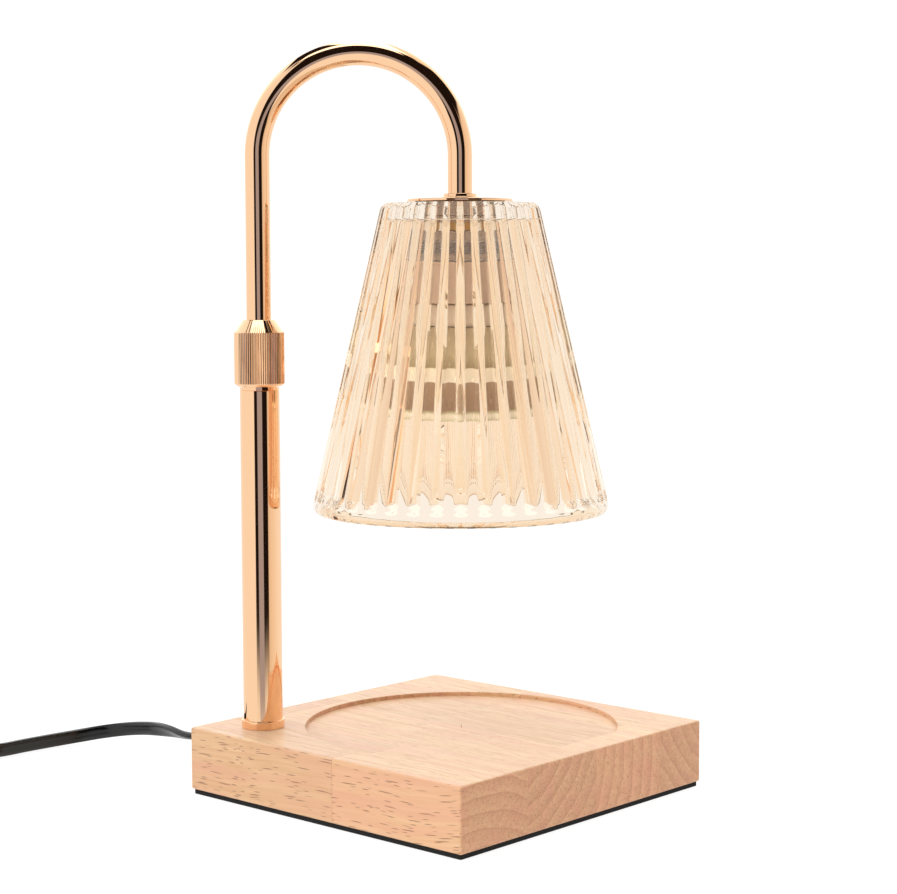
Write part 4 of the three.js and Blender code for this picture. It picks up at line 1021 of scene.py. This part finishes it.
class LAMP_OT_glass(bpy.types.Operator):
    """Makes the ribbed glass shade"""

    bl_idname = "lamp.glass"
    bl_label = "Glass shade"

    def execute(self, context):
        sizes = context.scene.lamp_sizes
        low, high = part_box("glass_shade")
        top_radius, top_corner, top_flat, rim_full = 32.1 * MM, 1.9 * MM, 5 * MM, 60.7 * MM
        hole, top_soft, fillet = radius_of("head_washer") + AIR, 0.4 * MM, 1.2 * MM
        rib_end, band, rim_round, rim_soft, wave = 8 * MM, 5 * MM, 1.8 * MM, 0.9 * MM, 0.03
        rim_inset, rim_edge, inner_edge = 0.4 * MM, 1.1 * MM, 0.4 * MM
        groove_radius, curve_steps, per_rib = 41 * MM, 5, 24
        slope = (rim_full - top_radius) / (high.z - low.z - top_corner)

        def cone(height):
            return top_radius + slope * (high.z - top_corner - height)

        def inside(height):
            return cone(height) - sizes.glass_wall

        # Corners of (radius, height, rounding), with the share of the rib's depth that shows there.
        ceiling = high.z - sizes.glass_top
        outline = [
            (hole, high.z, top_soft, 0), (top_radius - top_flat, high.z, 0, 0),
            (top_radius - top_corner, high.z, top_soft, 0.7), (top_radius, high.z - top_corner, fillet, 1),
        ]
        for share in (0.15, 0.3, 0.5, 0.7, 0.85):
            height = high.z + (low.z - high.z) * share
            outline.append((cone(height), height, 0, 1))
        outer_rim = cone(low.z + rim_round) - rim_inset
        outline += [
            (cone(low.z + rib_end), low.z + rib_end, fillet, 1),
            (cone(low.z + band), low.z + band, rim_soft, wave),
            (outer_rim, low.z + rim_round, 0.8 * MM, wave),
            (outer_rim - rim_edge, low.z, rim_soft, 0),
            (inside(low.z) + inner_edge, low.z, rim_soft, 0),
            (inside(low.z + rim_round), low.z + rim_round, rim_soft, 0),
        ]
        for share in (0.3, 0.6):
            height = low.z + (ceiling - low.z) * share
            outline.append((inside(height), height, 0, 0))
        outline += [(inside(ceiling), ceiling, fillet, 0), (hole, ceiling, 0.3 * MM, 0)]

        path = rounded([corner[:3] for corner in outline], steps=curve_steps)
        rings = []
        for (radius, height), share in zip(path, rib_shares(outline, curve_steps)):
            ring = []
            crown = 0.25 - 0.06 * (high.z - height) / (high.z - low.z)
            groove = [groove_share(abs(k / per_rib - round(k / per_rib)), crown) for k in range(per_rib)]
            deep = share * sizes.groove_depth * (radius / groove_radius) ** 0.8
            for k in range(sizes.rib_count * per_rib):
                reach = radius - deep * groove[k % per_rib]
                angle = FULL_TURN * k / (sizes.rib_count * per_rib) + sizes.rib_turn
                ring.append(
                    (SHADE_AXIS[0] + reach * math.cos(angle), SHADE_AXIS[1] + reach * math.sin(angle), height)
                )
            rings.append(ring)
        glass = dressed("ribbed_glass", skin(rings, closed=True), ["glass_shade"], "arm")
        glass.data.set_sharp_from_angle(angle=math.radians(80))
        return {"FINISHED"}


def groove_share(phase, half):
    """How deep the glass is cut at a phase, a share of the pitch from a crown's middle: hardly on the crown,
    which reaches out to half, then down a steep flank."""
    crown = 0.12
    return crown * (min(phase, half) / half) ** 2 + (1 - crown) * max(0, phase - half) / (0.5 - half)


def rib_shares(outline, steps):
    """The rib's share at each point that rounded() makes of an outline."""
    made = []
    for k, (*_, rounding, share) in enumerate(outline):
        if not rounding:
            made.append(share)
            continue
        before, after = outline[k - 1][3], outline[(k + 1) % len(outline)][3]
        for step in range(steps + 1):
            place = step / steps
            start, end = (share + before) / 2, (share + after) / 2
            near = start + (share - start) * place
            far = share + (end - share) * place
            made.append(near + (far - near) * place)
    return made


class LAMP_OT_head(bpy.types.Operator):
    """Makes the plate, hub and gasket on the glass, and the cap and holder under it"""

    bl_idname = "lamp.head"
    bl_label = "Lamp head"

    def execute(self, context):
        sizes = context.scene.lamp_sizes
        bore, soft, edge = 5.3 * MM, 0.15 * MM, 0.3 * MM

        def ring_piece(name, node, profile):
            low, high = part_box(node)
            turned_piece(name, node, profile(low.z, high.z, radius_of(node)), SHADE_AXIS, "arm")

        hub_foot, hub_step = 0.9 * MM, 1.1 * MM
        ring_piece("shade_cover_plate", "shade_plate", lambda low, high, r: [
            (bore, low, 0), (r, low, soft), (r, high, edge), (bore, high, 0)])
        ring_piece("gooseneck_hub", "top_hub", lambda low, high, r: [
            (bore, low, 0), (r, low, soft), (r, low + hub_foot, edge),
            (r - hub_step, low + hub_foot, 0.2 * MM), (r - hub_step, high, 0.4 * MM), (bore, high, soft)])
        # The washer's boss fills the hole in the glass, and the gasket lies round it.
        glass_air = 0.12 * MM
        boss_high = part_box("shade_gasket")[0].z + glass_air
        gasket_bore = radius_of("head_washer") + AIR
        ring_piece("rubber_gasket", "shade_gasket", lambda low, high, r: [
            (gasket_bore, boss_high, 0), (r, boss_high, soft), (r, high, soft), (gasket_bore, high, 0)])
        ring_piece("head_clamp_washer", "head_washer", lambda low, high, r: [
            (bore, low, 0), (r, low, soft), (r, boss_high, soft), (bore, boss_high, 0)])

        # The cap: a smooth neck, a screw thread and a bright lip.
        low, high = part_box("holder_cap")
        cap, cap_bore, cap_top = radius_of("holder_cap"), 13 * MM, 2.5 * MM
        lip, neck, lip_soft, rows = 2.5 * MM, 3.9 * MM, 0.5 * MM, 60
        neck_radius, thread, thread_depth, neck_gap = 14.6 * MM, 14.9 * MM, 0.5 * MM, 0.15 * MM
        thread_low, thread_high = low.z + lip, high.z - neck
        outline = [
            (bore, high.z, 0), (bore, high.z - cap_top, 0), (cap_bore, high.z - cap_top, 0),
            (cap_bore, low.z, soft), (cap, low.z, lip_soft), (cap, thread_low, lip_soft),
        ]
        outline += [(thread, thread_low + (thread_high - thread_low) * k / rows, 0) for k in range(rows + 1)]
        outline += [(neck_radius, thread_high + neck_gap, 0), (neck_radius, high.z, 0.6 * MM)]

        def threaded(radius, height, angle):
            edge = min(height - thread_low, thread_high - height)
            if abs(radius - thread) > 0.1 * MM or edge < 0:
                return radius
            phase = height / sizes.thread_pitch - angle / FULL_TURN
            run_out = min(1, edge / thread_depth)
            return radius - thread_depth * run_out * abs(2 * (phase % 1) - 1)

        turned_piece("threaded_cap", "holder_cap", outline, SHADE_AXIS, "arm", radius_at=threaded)

        # The holder: a cylinder with a spigot in the cap and two curved slots for the pins, wider inside.
        shoulder, spigot, tip = low.z - AIR, cap_bore - AIR, 1 * MM
        low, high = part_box("lamp_holder")
        radius = radius_of("lamp_holder")
        holder = turned_piece("tan_holder", "lamp_holder", [
            (tip, low.z, 0), (radius, low.z, lip_soft), (radius, shoulder, lip_soft), (spigot, shoulder, 0),
            (spigot, high.z, edge), (tip, high.z, 0),
        ], SHADE_AXIS, "arm", closed=False)
        pin_circle, stem_slot, head_slot = 5 * MM, 1.9 * MM, 2.9 * MM
        cutters = []
        for start in (0, math.pi):
            for half_width, bottom, top in ((stem_slot, -1 * MM, 4.5 * MM), (head_slot, 3.9 * MM, 10 * MM)):
                ring = arc_slot(pin_circle, half_width, start)
                cutters.append(skin([[(x, y, low.z + z) for x, y in ring] for z in (bottom, top)]))
        carve(holder, *cutters)
        return {"FINISHED"}


def arc_slot(slot_radius, half_width, start, steps=8):
    """Outline of a curved slot that runs back by a bayonet's twist from an angle on the shade's axis."""
    twist = math.pi / 6
    made = [(slot_radius + half_width, start + twist * (k / steps - 1)) for k in range(steps + 1)]
    made += [(slot_radius - half_width, start - twist * k / steps) for k in range(steps + 1)]
    return [(SHADE_AXIS[0] + radius * math.cos(angle), SHADE_AXIS[1] + radius * math.sin(angle))
            for radius, angle in made]


class LAMP_OT_bulb(bpy.types.Operator):
    """Makes the reflector lamp"""

    bl_idname = "lamp.bulb"
    bl_label = "Reflector lamp"

    def execute(self, context):
        soft, edge, tip = 0.3 * MM, 0.4 * MM, 0.2 * MM
        low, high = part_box("bulb_base")
        neck, neck_tip, nose_inset, nose_height = radius_of("bulb_base"), 1 * MM, 0.6 * MM, 1.6 * MM
        turned_piece("bulb_neck", "bulb_base", [
            (neck_tip, low.z, 0), (neck - nose_inset, low.z, edge), (neck, low.z + nose_height, 0.6 * MM),
            (neck, high.z, 0.7 * MM), (neck_tip, high.z, 0),
        ], SHADE_AXIS, "bulb", closed=False)

        # The reflector: a flared bowl with a rim, dimpled inside.
        low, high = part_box("bulb_reflector")
        radius, rim_height, rim_width, wall = radius_of("bulb_reflector"), 3.4 * MM, 2.4 * MM, 1.2 * MM
        apex_radius, flare, rows = 6.4 * MM, 2.3, 22
        apex, rim_top = high.z - 4.5 * MM, low.z + rim_height
        facets, facet_height, dimple = 20, 4 * MM, 0.25 * MM

        def reach(height):
            share = (high.z - height) / (high.z - low.z - rim_height)
            return neck - 0.4 * MM + (radius - neck) * (1 - (1 - min(1, share)) ** flare)

        heights = [high.z + (rim_top - high.z) * k / rows for k in range(rows + 1)]
        outline = [(reach(height), height, 0) for height in heights]
        outline += [
            (radius, rim_top, soft), (radius, low.z, edge), (radius - rim_width, low.z, edge),
            *[(reach(height) - wall, height, 0) for height in heights[::-1] if height < apex],
            (apex_radius, apex, soft), (apex_radius, high.z, 0),
        ]

        def dimpled(r, z, angle):
            if r > reach(z) - wall * 0.9 or z < rim_top or z > apex - 1 * MM:
                return r
            row = (z - rim_top) / facet_height
            return r - dimple * math.sin(math.pi * (row % 1)) * abs(math.sin(angle * facets / 2))

        turned_piece("bulb_shell", "bulb_reflector", outline, SHADE_AXIS, "bulb", 160, radius_at=dimpled)

        low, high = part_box("bulb_lens")
        radius = radius_of("bulb_lens")
        turned_piece("bulb_front_glass", "bulb_lens", [
            (tip, low.z, 0), (radius * 0.7, low.z + 0.1 * MM, 4 * MM), (radius, low.z + 0.5 * MM, soft),
            (radius, high.z, soft), (tip, high.z - 0.2 * MM, 0),
        ], SHADE_AXIS, "bulb", closed=False)

        low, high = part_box("bulb_capsule")
        radius, seal = radius_of("bulb_capsule"), radius_of("bulb_capsule") * 0.75
        turned_piece("bulb_inner_capsule", "bulb_capsule", [
            (0.6 * MM, low.z, 0), (radius * 0.35, low.z + 0.6 * MM, 0.8 * MM),
            (radius, low.z + 4 * MM, 2.5 * MM), (radius, low.z + 14 * MM, 1.5 * MM),
            (seal, low.z + 16 * MM, 1 * MM), (seal, high.z, 0),
        ], SHADE_AXIS, "bulb", 48, closed=False)
        return {"FINISHED"}


class LAMP_OT_dimmer(bpy.types.Operator):
    """Makes the dimmer's two shells, its thumb wheel and its sleeves"""

    bl_idname = "lamp.dimmer"
    bl_label = "Dimmer"

    def execute(self, context):
        low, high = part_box("dimmer_upper_shell")
        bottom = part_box("dimmer_lower_shell")[0].z
        centre = centre_of("dimmer_upper_shell")[:2]
        middle = (bottom + high.z) / 2
        width, length = high.x - low.x, high.y - low.y
        wall, corner, ease, inner_ease = 1.6 * MM, 6 * MM, 2 * MM, 1 * MM
        seam, wheel_fit, end_hole = 0.15 * MM, 0.5 * MM, 4.1 * MM
        wheel_low, wheel_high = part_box("dimmer_wheel")
        wheel = radius_of("dimmer_wheel")
        inside = eased_block(
            width - 2 * wall, length - 2 * wall, corner - wall, bottom + wall, high.z - wall, inner_ease,
            centre,
        )
        slot = cylinder(wheel + wheel_fit, wheel_low.z - wheel_fit, wheel_high.z + wheel_fit, 64, DIAL_AXIS)
        ends = laid(cylinder(end_hole, 0, length * 2, 32), (centre[0], centre[1] - length, middle), (0, 1, 0))
        for half, cut_low, cut_high in (
            ("lower", middle - seam, high.z * 2),
            ("upper", bottom - high.z, middle + seam),
        ):
            shell = eased_block(width, length, corner, bottom, high.z, ease, centre, steps=6)
            case = dressed(f"dimmer_{half}_case", shell, [f"dimmer_{half}_shell"])
            around = Vector((wall, wall, 0))
            other = box_shape(Vector((*low.xy, cut_low)) - around, Vector((*high.xy, cut_high)) + around)
            carve(case, inside, slot, ends, other)

        ridges, ridge_depth, hole, soft = 24, 0.5 * MM, 2.8 * MM, 0.5 * MM

        def ridged(reach, height, angle):
            cut = ridge_depth * (0.5 - 0.5 * math.cos(angle * ridges)) ** 2
            return reach - (cut if reach > wheel - 1 * MM else 0)

        turned_piece("dimmer_thumb_wheel", "dimmer_wheel", [
            (hole, wheel_low.z, 0), (wheel, wheel_low.z, soft), (wheel, wheel_high.z, soft),
            (hole, wheel_high.z, 0),
        ], DIAL_AXIS, "dimmer_wheel", ridges * 8, radius_at=ridged)

        # The sleeves: a flange inside the wall, a neck through it and a grooved tail.
        thick, thin, neck, tip, soft = 4.6 * MM, 3.9 * MM, 3.8 * MM, 0.2 * MM, 0.2 * MM
        flange = 1.4 * MM
        outer = flange + wall + 2 * AIR
        for index, way in ((1, 1), (2, -1)):
            node = f"dimmer_gland_{index}"
            low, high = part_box(node)
            reach = high.y - low.y
            tail = reach - outer
            outline = [
                (tip, 0, 0), (thick, 0, soft), (thick, flange, soft), (neck, flange, 0), (neck, outer, 0),
                (thick, outer, 0.4 * MM),
            ]
            for k in range(3):
                start = outer + tail * (0.3 + 0.2 * k)
                radius = thick + (thin - thick) * (start - outer) / tail
                outline += groove(radius, start, 0.6 * MM, 0.7 * MM, soft)
            outline += [(thin, reach, 0.6 * MM), (tip, reach, 0)]
            shape = turned(rounded(outline, closed=False), 48, closed=False)
            at = (centre[0], low.y if way > 0 else high.y, middle)
            dressed(f"dimmer_sleeve_{index}", laid(shape, at, (0, way, 0)), [node])
        return {"FINISHED"}


class LAMP_OT_plug(bpy.types.Operator):
    """Makes the plug with its two blades, and the strap round the coil"""

    bl_idname = "lamp.plug"
    bl_label = "Plug"

    def execute(self, context):
        low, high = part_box("plug_body")
        length, wide, tall = high - low
        _, middle_y, middle_z = centre_of("plug_body")
        narrow, short, nose, waist_depth = 11 * MM, 9 * MM, 1.6 * MM, 0.5 * MM
        steps = 36
        rings = []
        for k in range(steps + 1):
            share = k / steps
            swell = min(1, max(0, (share - 0.2) / 0.55))
            swell = swell * swell * (3 - 2 * swell)
            edge = min(share, 1 - share) * length
            inset = nose - math.sqrt(max(0, nose ** 2 - (nose - min(nose, edge)) ** 2))
            if 0.06 < share < 0.24:
                inset += waist_depth * abs(math.sin((share - 0.06) / 0.06 * math.pi))
            width = narrow + (wide - narrow) * swell - 2 * inset
            height = short + (tall - short) * swell - 2 * inset
            rings.append([
                (low.x + share * length, middle_y + x, middle_z + y)
                for x, y in rounded_rectangle(width, height, min(width, height) * 0.32)
            ])
        dressed("plug_shell", skin(rings), ["plug_body"])

        # The blades: plates with rounded tips, thinner at their edges, and a hole near the end.
        tip_round, thin, hole, hole_inset = 1.4 * MM, 0.35 * MM, 1.5 * MM, 4 * MM
        for index in (1, 2):
            node = f"plug_blade_{index}"
            low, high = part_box(node)
            reach, thickness, width = high - low
            centre_x, middle, centre_z = centre_of(node)
            outline = rounded([
                (low.x, low.z, 0), (high.x, low.z, tip_round), (high.x, high.z, tip_round),
                (low.x, high.z, 0),
            ])
            half = thickness / 2
            rings = []
            for offset, inset in ((-half, thin), (thin - half, 0), (half - thin, 0), (half, thin)):
                rings.append([
                    (centre_x + (x - centre_x) * (1 - 2 * inset / reach), middle + offset,
                     centre_z + (z - centre_z) * (1 - 2 * inset / width))
                    for x, z in outline])
            blade = dressed(f"plug_pin_{index}", skin(rings), [node])
            at = (high.x - hole_inset, middle, centre_z)
            carve(blade, laid(cylinder(hole, -5 * MM, 5 * MM, 32), at, (0, 1, 0)))

        # The strap: a soft band round the bundle.
        low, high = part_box("coil_tie")
        middle_x, _, middle_z = centre_of("coil_tie")
        width, _, height = high - low
        thick, soft, corner = 0.6 * MM, 0.2 * MM, 2.4 * MM
        outer = rounded_rectangle(width, height, corner, 6)
        inner = rounded_rectangle(width - 2 * thick, height - 2 * thick, corner - thick, 6)
        rings = []
        for outline, y in ((outer, low.y + soft), (outer, high.y - soft), (inner, high.y), (inner, low.y)):
            rings.append([(middle_x + x, y, middle_z + z) for x, z in outline])
        dressed("coil_strap", skin(rings, closed=True), ["coil_tie"])
        return {"FINISHED"}


class LAMP_OT_lead_lengths(bpy.types.Operator):
    """Does nothing: the lead's lengths and the pieces on each stretch are not noted here"""

    bl_idname = "lamp.lead_lengths"
    bl_label = "Lead lengths"

    def execute(self, context):
        return {"FINISHED"}


class LAMP_OT_slack_lead(bpy.types.Operator):
    """Makes the coil of slack lead in the post"""

    bl_idname = "lamp.slack_lead"
    bl_label = "Slack lead"

    def execute(self, context):
        low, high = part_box("slack_lead")
        radius, turns, steps, sides = 1.6 * MM, 6, 24, 12
        reach = radius_of("slack_lead") - radius
        bottom, rise = low.z + radius, high.z - low.z - 2 * radius
        shares = np.linspace(0, 1, turns * steps + 1)
        angles = FULL_TURN * turns * shares
        across = np.stack([np.cos(angles), np.sin(angles), 0 * angles], axis=1)
        path = reach * across + [*POST_AXIS, 0] + np.outer(bottom + rise * shares, [0, 0, 1])
        coil = skin(carried(round_section(radius, sides), path, ways_along(path), across))
        made = dressed("folded_slack_lead", coil, ["slack_lead"], body=None)
        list(POST_AXIS)
        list(POST_AXIS)
        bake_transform(made)
        return {"FINISHED"}


class LAMP_OT_inner_parts(bpy.types.Operator):
    """Gives the parts inside the lamp their finishes and softens their edges"""

    bl_idname = "lamp.inner_parts"
    bl_label = "Inner parts"

    def execute(self, context):
        for name, node in frame["nodes"].items():
            if node.hide_render:
                continue
            node.data.materials.clear()
            node.data.materials.append(FINISHES[SLOTS[name]])
            edge = node.modifiers.new("edge", "BEVEL")
            edge.width = 0.12 * MM
            edge.segments = 1
            edge.limit_method = "ANGLE"
            edge.angle_limit = math.radians(40)
        return {"FINISHED"}


def rectangle_mask(tree, across, upward, turn, along_range, side_range, soft):
    """1 inside a soft-edged rectangle that lies turned by an angle in the studio's view, 0 outside."""
    mask = 1.0
    for across_share, upward_share, (start, end) in (
        (math.cos(turn), math.sin(turn), along_range),
        (-math.sin(turn), math.cos(turn), side_range),
    ):
        part = add_node(tree, "Math", {0: across, 1: across_share}, operation="MULTIPLY")
        place = add_node(tree, "Math", {0: upward, 1: upward_share, 2: part}, operation="MULTIPLY_ADD")
        for edge, before, after in ((start, 0, 1), (end, 1, 0)):
            sockets = span(place, before, after, edge - soft, edge + soft)
            step = add_node(tree, "MapRange", sockets, interpolation_type="SMOOTHSTEP")
            mask = add_node(tree, "Math", {0: mask, 1: step}, operation="MULTIPLY")
    return mask


def white_studio():
    """A white studio: what polished pieces see has a dark opening round the camera and dark panels above."""
    world = bpy.data.worlds.new("white_studio")
    world.use_nodes = True
    tree = world.node_tree
    tree.nodes.clear()
    right, up, forward = camera_axes()
    upper_left = (up - 0.45 * right).normalized()
    where = add_node(tree, "TexCoord").outputs["Generated"]
    axes = {"back": -forward, "right": right, "up": up, "forward": forward, "upper_left": upper_left}
    along = {
        name: add_node(tree, "VectorMath", {0: where, 1: axis}, operation="DOT_PRODUCT")
        for name, axis in axes.items()
    }

    # The studio as a flat picture: the tangent of half the angle from the camera, to the right and up.
    nearness = add_node(tree, "Math", {0: along["back"], 1: 1.0}, operation="ADD")
    nearness = add_node(tree, "Math", {0: nearness, 1: 0.01}, operation="MAXIMUM")
    across = add_node(tree, "Math", {0: along["right"], 1: nearness}, operation="DIVIDE")
    upward = add_node(tree, "Math", {0: along["up"], 1: nearness}, operation="DIVIDE")

    # What polished pieces mirror: side walls that grow lighter outwards and upwards, with panels before them.
    white, dark, cool_grey = (1, 1, 1, 1), (0.012, 0.008, 0.007, 1), (0.4, 0.41, 0.52, 1)
    lamp_white, panel_white = (2.8, 2.8, 2.8, 1), (2.2, 2.2, 2.2, 1)
    outward = add_node(tree, "MapRange", {"Value": across, "From Min": 0.3, "From Max": 1.4})
    walls = add_node(tree, "ValToRGB", {"Fac": outward})
    near_wall, far_wall = (0.76, 0.66, 0.55, 1), (0.92, 0.85, 0.76, 1)
    set_ramp(walls, [(0.0, white), (0.01, near_wall), (0.35, far_wall), (1.0, white)])
    ceiling = add_node(tree, "MapRange", span(upward, 1.0, 1.35, 0.5, 1.2))
    studio = add_node(tree, "VectorMath", {0: walls, "Scale": ceiling}, operation="SCALE")
    for turn, along_range, side_range, soft, fade, colour in (
        (90, (0.8, 2.6), (-0.4, 0.4), 0.05, None, lamp_white),
        (0, (-0.26, 0.43), (-0.28, 0.754), 0.015, (-0.156, -0.13), dark),
        (0, (-0.42, 0.43), (0.5, 0.754), 0.015, None, dark),
        (0, (-0.36, 0.27), (0.56, 0.9), 0.015, None, panel_white),
        (114, (0.84, 3.2), (-0.26, 0.26), 0.03, None, dark),
        (42, (0.45, 1.25), (-0.22, 0.22), 0.03, None, dark),
        (0, (-0.1, 0.15), (-0.28, 0.005), 0.012, (-0.166, -0.143), cool_grey),
    ):
        mask = rectangle_mask(tree, across, upward, math.radians(turn), along_range, side_range, soft)
        if fade:
            rise = add_node(tree, "MapRange", span(upward, 0, 1, *fade), interpolation_type="SMOOTHSTEP")
            mask = add_node(tree, "Math", {0: mask, 1: rise}, operation="MULTIPLY")
        studio = add_node(tree, "Mix", {"Factor": mask, "A": studio, "B": colour}, data_type="RGBA")

    # Daylight for matt pieces, brighter from the upper left. What reaches them through the glass is stronger.
    key_light = add_node(tree, "MapRange", span(along["upper_left"], 0.2, 1.95, -0.2, 1.0))
    daylight = add_node(tree, "CombineColor", {0: key_light, 1: key_light, 2: key_light})
    inside = add_node(tree, "VectorMath", {0: daylight, "Scale": 2.5}, operation="SCALE")

    # What clear glass shows behind it: white straight behind, and warmer to the sides.
    behind = add_node(tree, "MapRange", {"Value": along["forward"], "From Min": -1.0, "From Max": 1.0})
    warm, amber, cream = (0.97, 0.8, 0.63, 1), (0.75, 0.45, 0.3, 1), (1.0, 0.94, 0.85, 1)
    backdrop = add_node(tree, "ValToRGB", {"Fac": behind})
    set_ramp(backdrop, [(0.2, amber), (0.5, warm), (0.88, cream), (0.97, white)])
    ray = add_node(tree, "LightPath").outputs
    diffused = add_node(tree, "Math", {0: ray["Diffuse Depth"], 1: 0.5}, operation="GREATER_THAN")
    mirrored_sockets = {"Factor": ray["Is Singular Ray"], "A": studio, "B": backdrop}
    mirrored = add_node(tree, "Mix", mirrored_sockets, data_type="RGBA")
    through = add_node(tree, "Mix", {"Factor": diffused, "A": backdrop, "B": inside}, data_type="RGBA")
    light = daylight
    paper_white = (1.05, 1.05, 1.05, 1)
    for kind, seen in (
        ("Is Glossy Ray", mirrored), ("Is Transmission Ray", through), ("Is Camera Ray", paper_white),
    ):
        light = add_node(tree, "Mix", {"Factor": ray[kind], "A": light, "B": seen}, data_type="RGBA")
    background = add_node(tree, "Background", {"Color": light, "Strength": 1.0})
    add_node(tree, "OutputWorld", {"Surface": background})
    return world


def white_paper():
    """Smooth white paper: an even matt white that glows a little, so that the floor melts into the room."""
    material, tree, shader, where = start_material("white_paper", {
        "Specular IOR Level": 0.1, "Emission Color": (1, 1, 1, 1), "Emission Strength": 0.86,
    })
    vary(tree, shader, grain(tree, where, 2 * MM), (0.2, 0.2, 0.2, 1), 0.97, (0.9, 0.9))
    return material


class LAMP_OT_stage(bpy.types.Operator):
    """Makes the pale floor and the white studio light"""

    bl_idname = "lamp.stage"
    bl_label = "Stage"

    def execute(self, context):
        scene = context.scene
        scene.world = white_studio()
        floor_radius, drop = 560 * MM, 0.2 * MM
        floor = piece("floor", cylinder(floor_radius, -drop, -2 * drop, 96))
        floor.data.materials.append(white_paper())
        floor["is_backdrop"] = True
        # The polished post shows the studio's own lower half, as in the photograph, and none of the pieces
        # that lie outside its view.
        floor.visible_glossy = False
        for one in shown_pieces():
            if one.name.startswith(("dimmer", "plug", "coil")):
                one.visible_glossy = False

        scene.view_settings.view_transform = "Standard"
        scene.view_settings.look = "None"
        for name, value in {
            "max_bounces": 32, "transmission_bounces": 28, "glossy_bounces": 12, "diffuse_bounces": 4,
            "transparent_max_bounces": 16, "caustics_refractive": True, "caustics_reflective": True,
            "sample_clamp_indirect": 6.0, "use_denoising": True,
        }.items():
            setattr(scene.cycles, name, value)
        return {"FINISHED"}


class LAMP_PT_sidebar(bpy.types.Panel):
    """Lists the lamp's sizes, colours and pieces"""

    bl_label = "Candle Lamp"
    bl_space_type = "VIEW_3D"
    bl_region_type = "UI"
    bl_category = "Candle Lamp"

    def draw(self, context):
        for group in (context.scene.lamp_sizes, context.scene.lamp_colours):
            box = self.layout.box()
            for name in group.bl_rna.properties.keys():
                if name not in ("rna_type", "name"):
                    box.prop(group, name)
        for operator in OPERATORS:
            self.layout.operator(operator.bl_idname)


OPERATORS = [
    LAMP_OT_camera,
    LAMP_OT_lead,
    LAMP_OT_base,
    LAMP_OT_boot,
    LAMP_OT_post,
    LAMP_OT_collar,
    LAMP_OT_gooseneck,
    LAMP_OT_glass,
    LAMP_OT_head,
    LAMP_OT_bulb,
    LAMP_OT_dimmer,
    LAMP_OT_plug,
    LAMP_OT_lead_lengths,
    LAMP_OT_slack_lead,
    LAMP_OT_inner_parts,
    LAMP_OT_stage,
]
CLASSES = [LampSizes, LampColours, *OPERATORS, LAMP_PT_sidebar]


def register():
    for one in CLASSES:
        bpy.utils.register_class(one)
    bpy.types.Scene.lamp_sizes = bpy.props.PointerProperty(type=LampSizes)
    bpy.types.Scene.lamp_colours = bpy.props.PointerProperty(type=LampColours)


def unregister():
    del bpy.types.Scene.lamp_sizes
    del bpy.types.Scene.lamp_colours
    for one in reversed(CLASSES):
        bpy.utils.unregister_class(one)


def main():
    """Builds the whole lamp."""
    register()
    scene = bpy.context.scene
    mix_finishes(scene.lamp_sizes, scene.lamp_colours)
    for operator in OPERATORS:
        getattr(bpy.ops.lamp, operator.bl_idname.split(".")[1])()


if __name__ == "__main__":
    main()
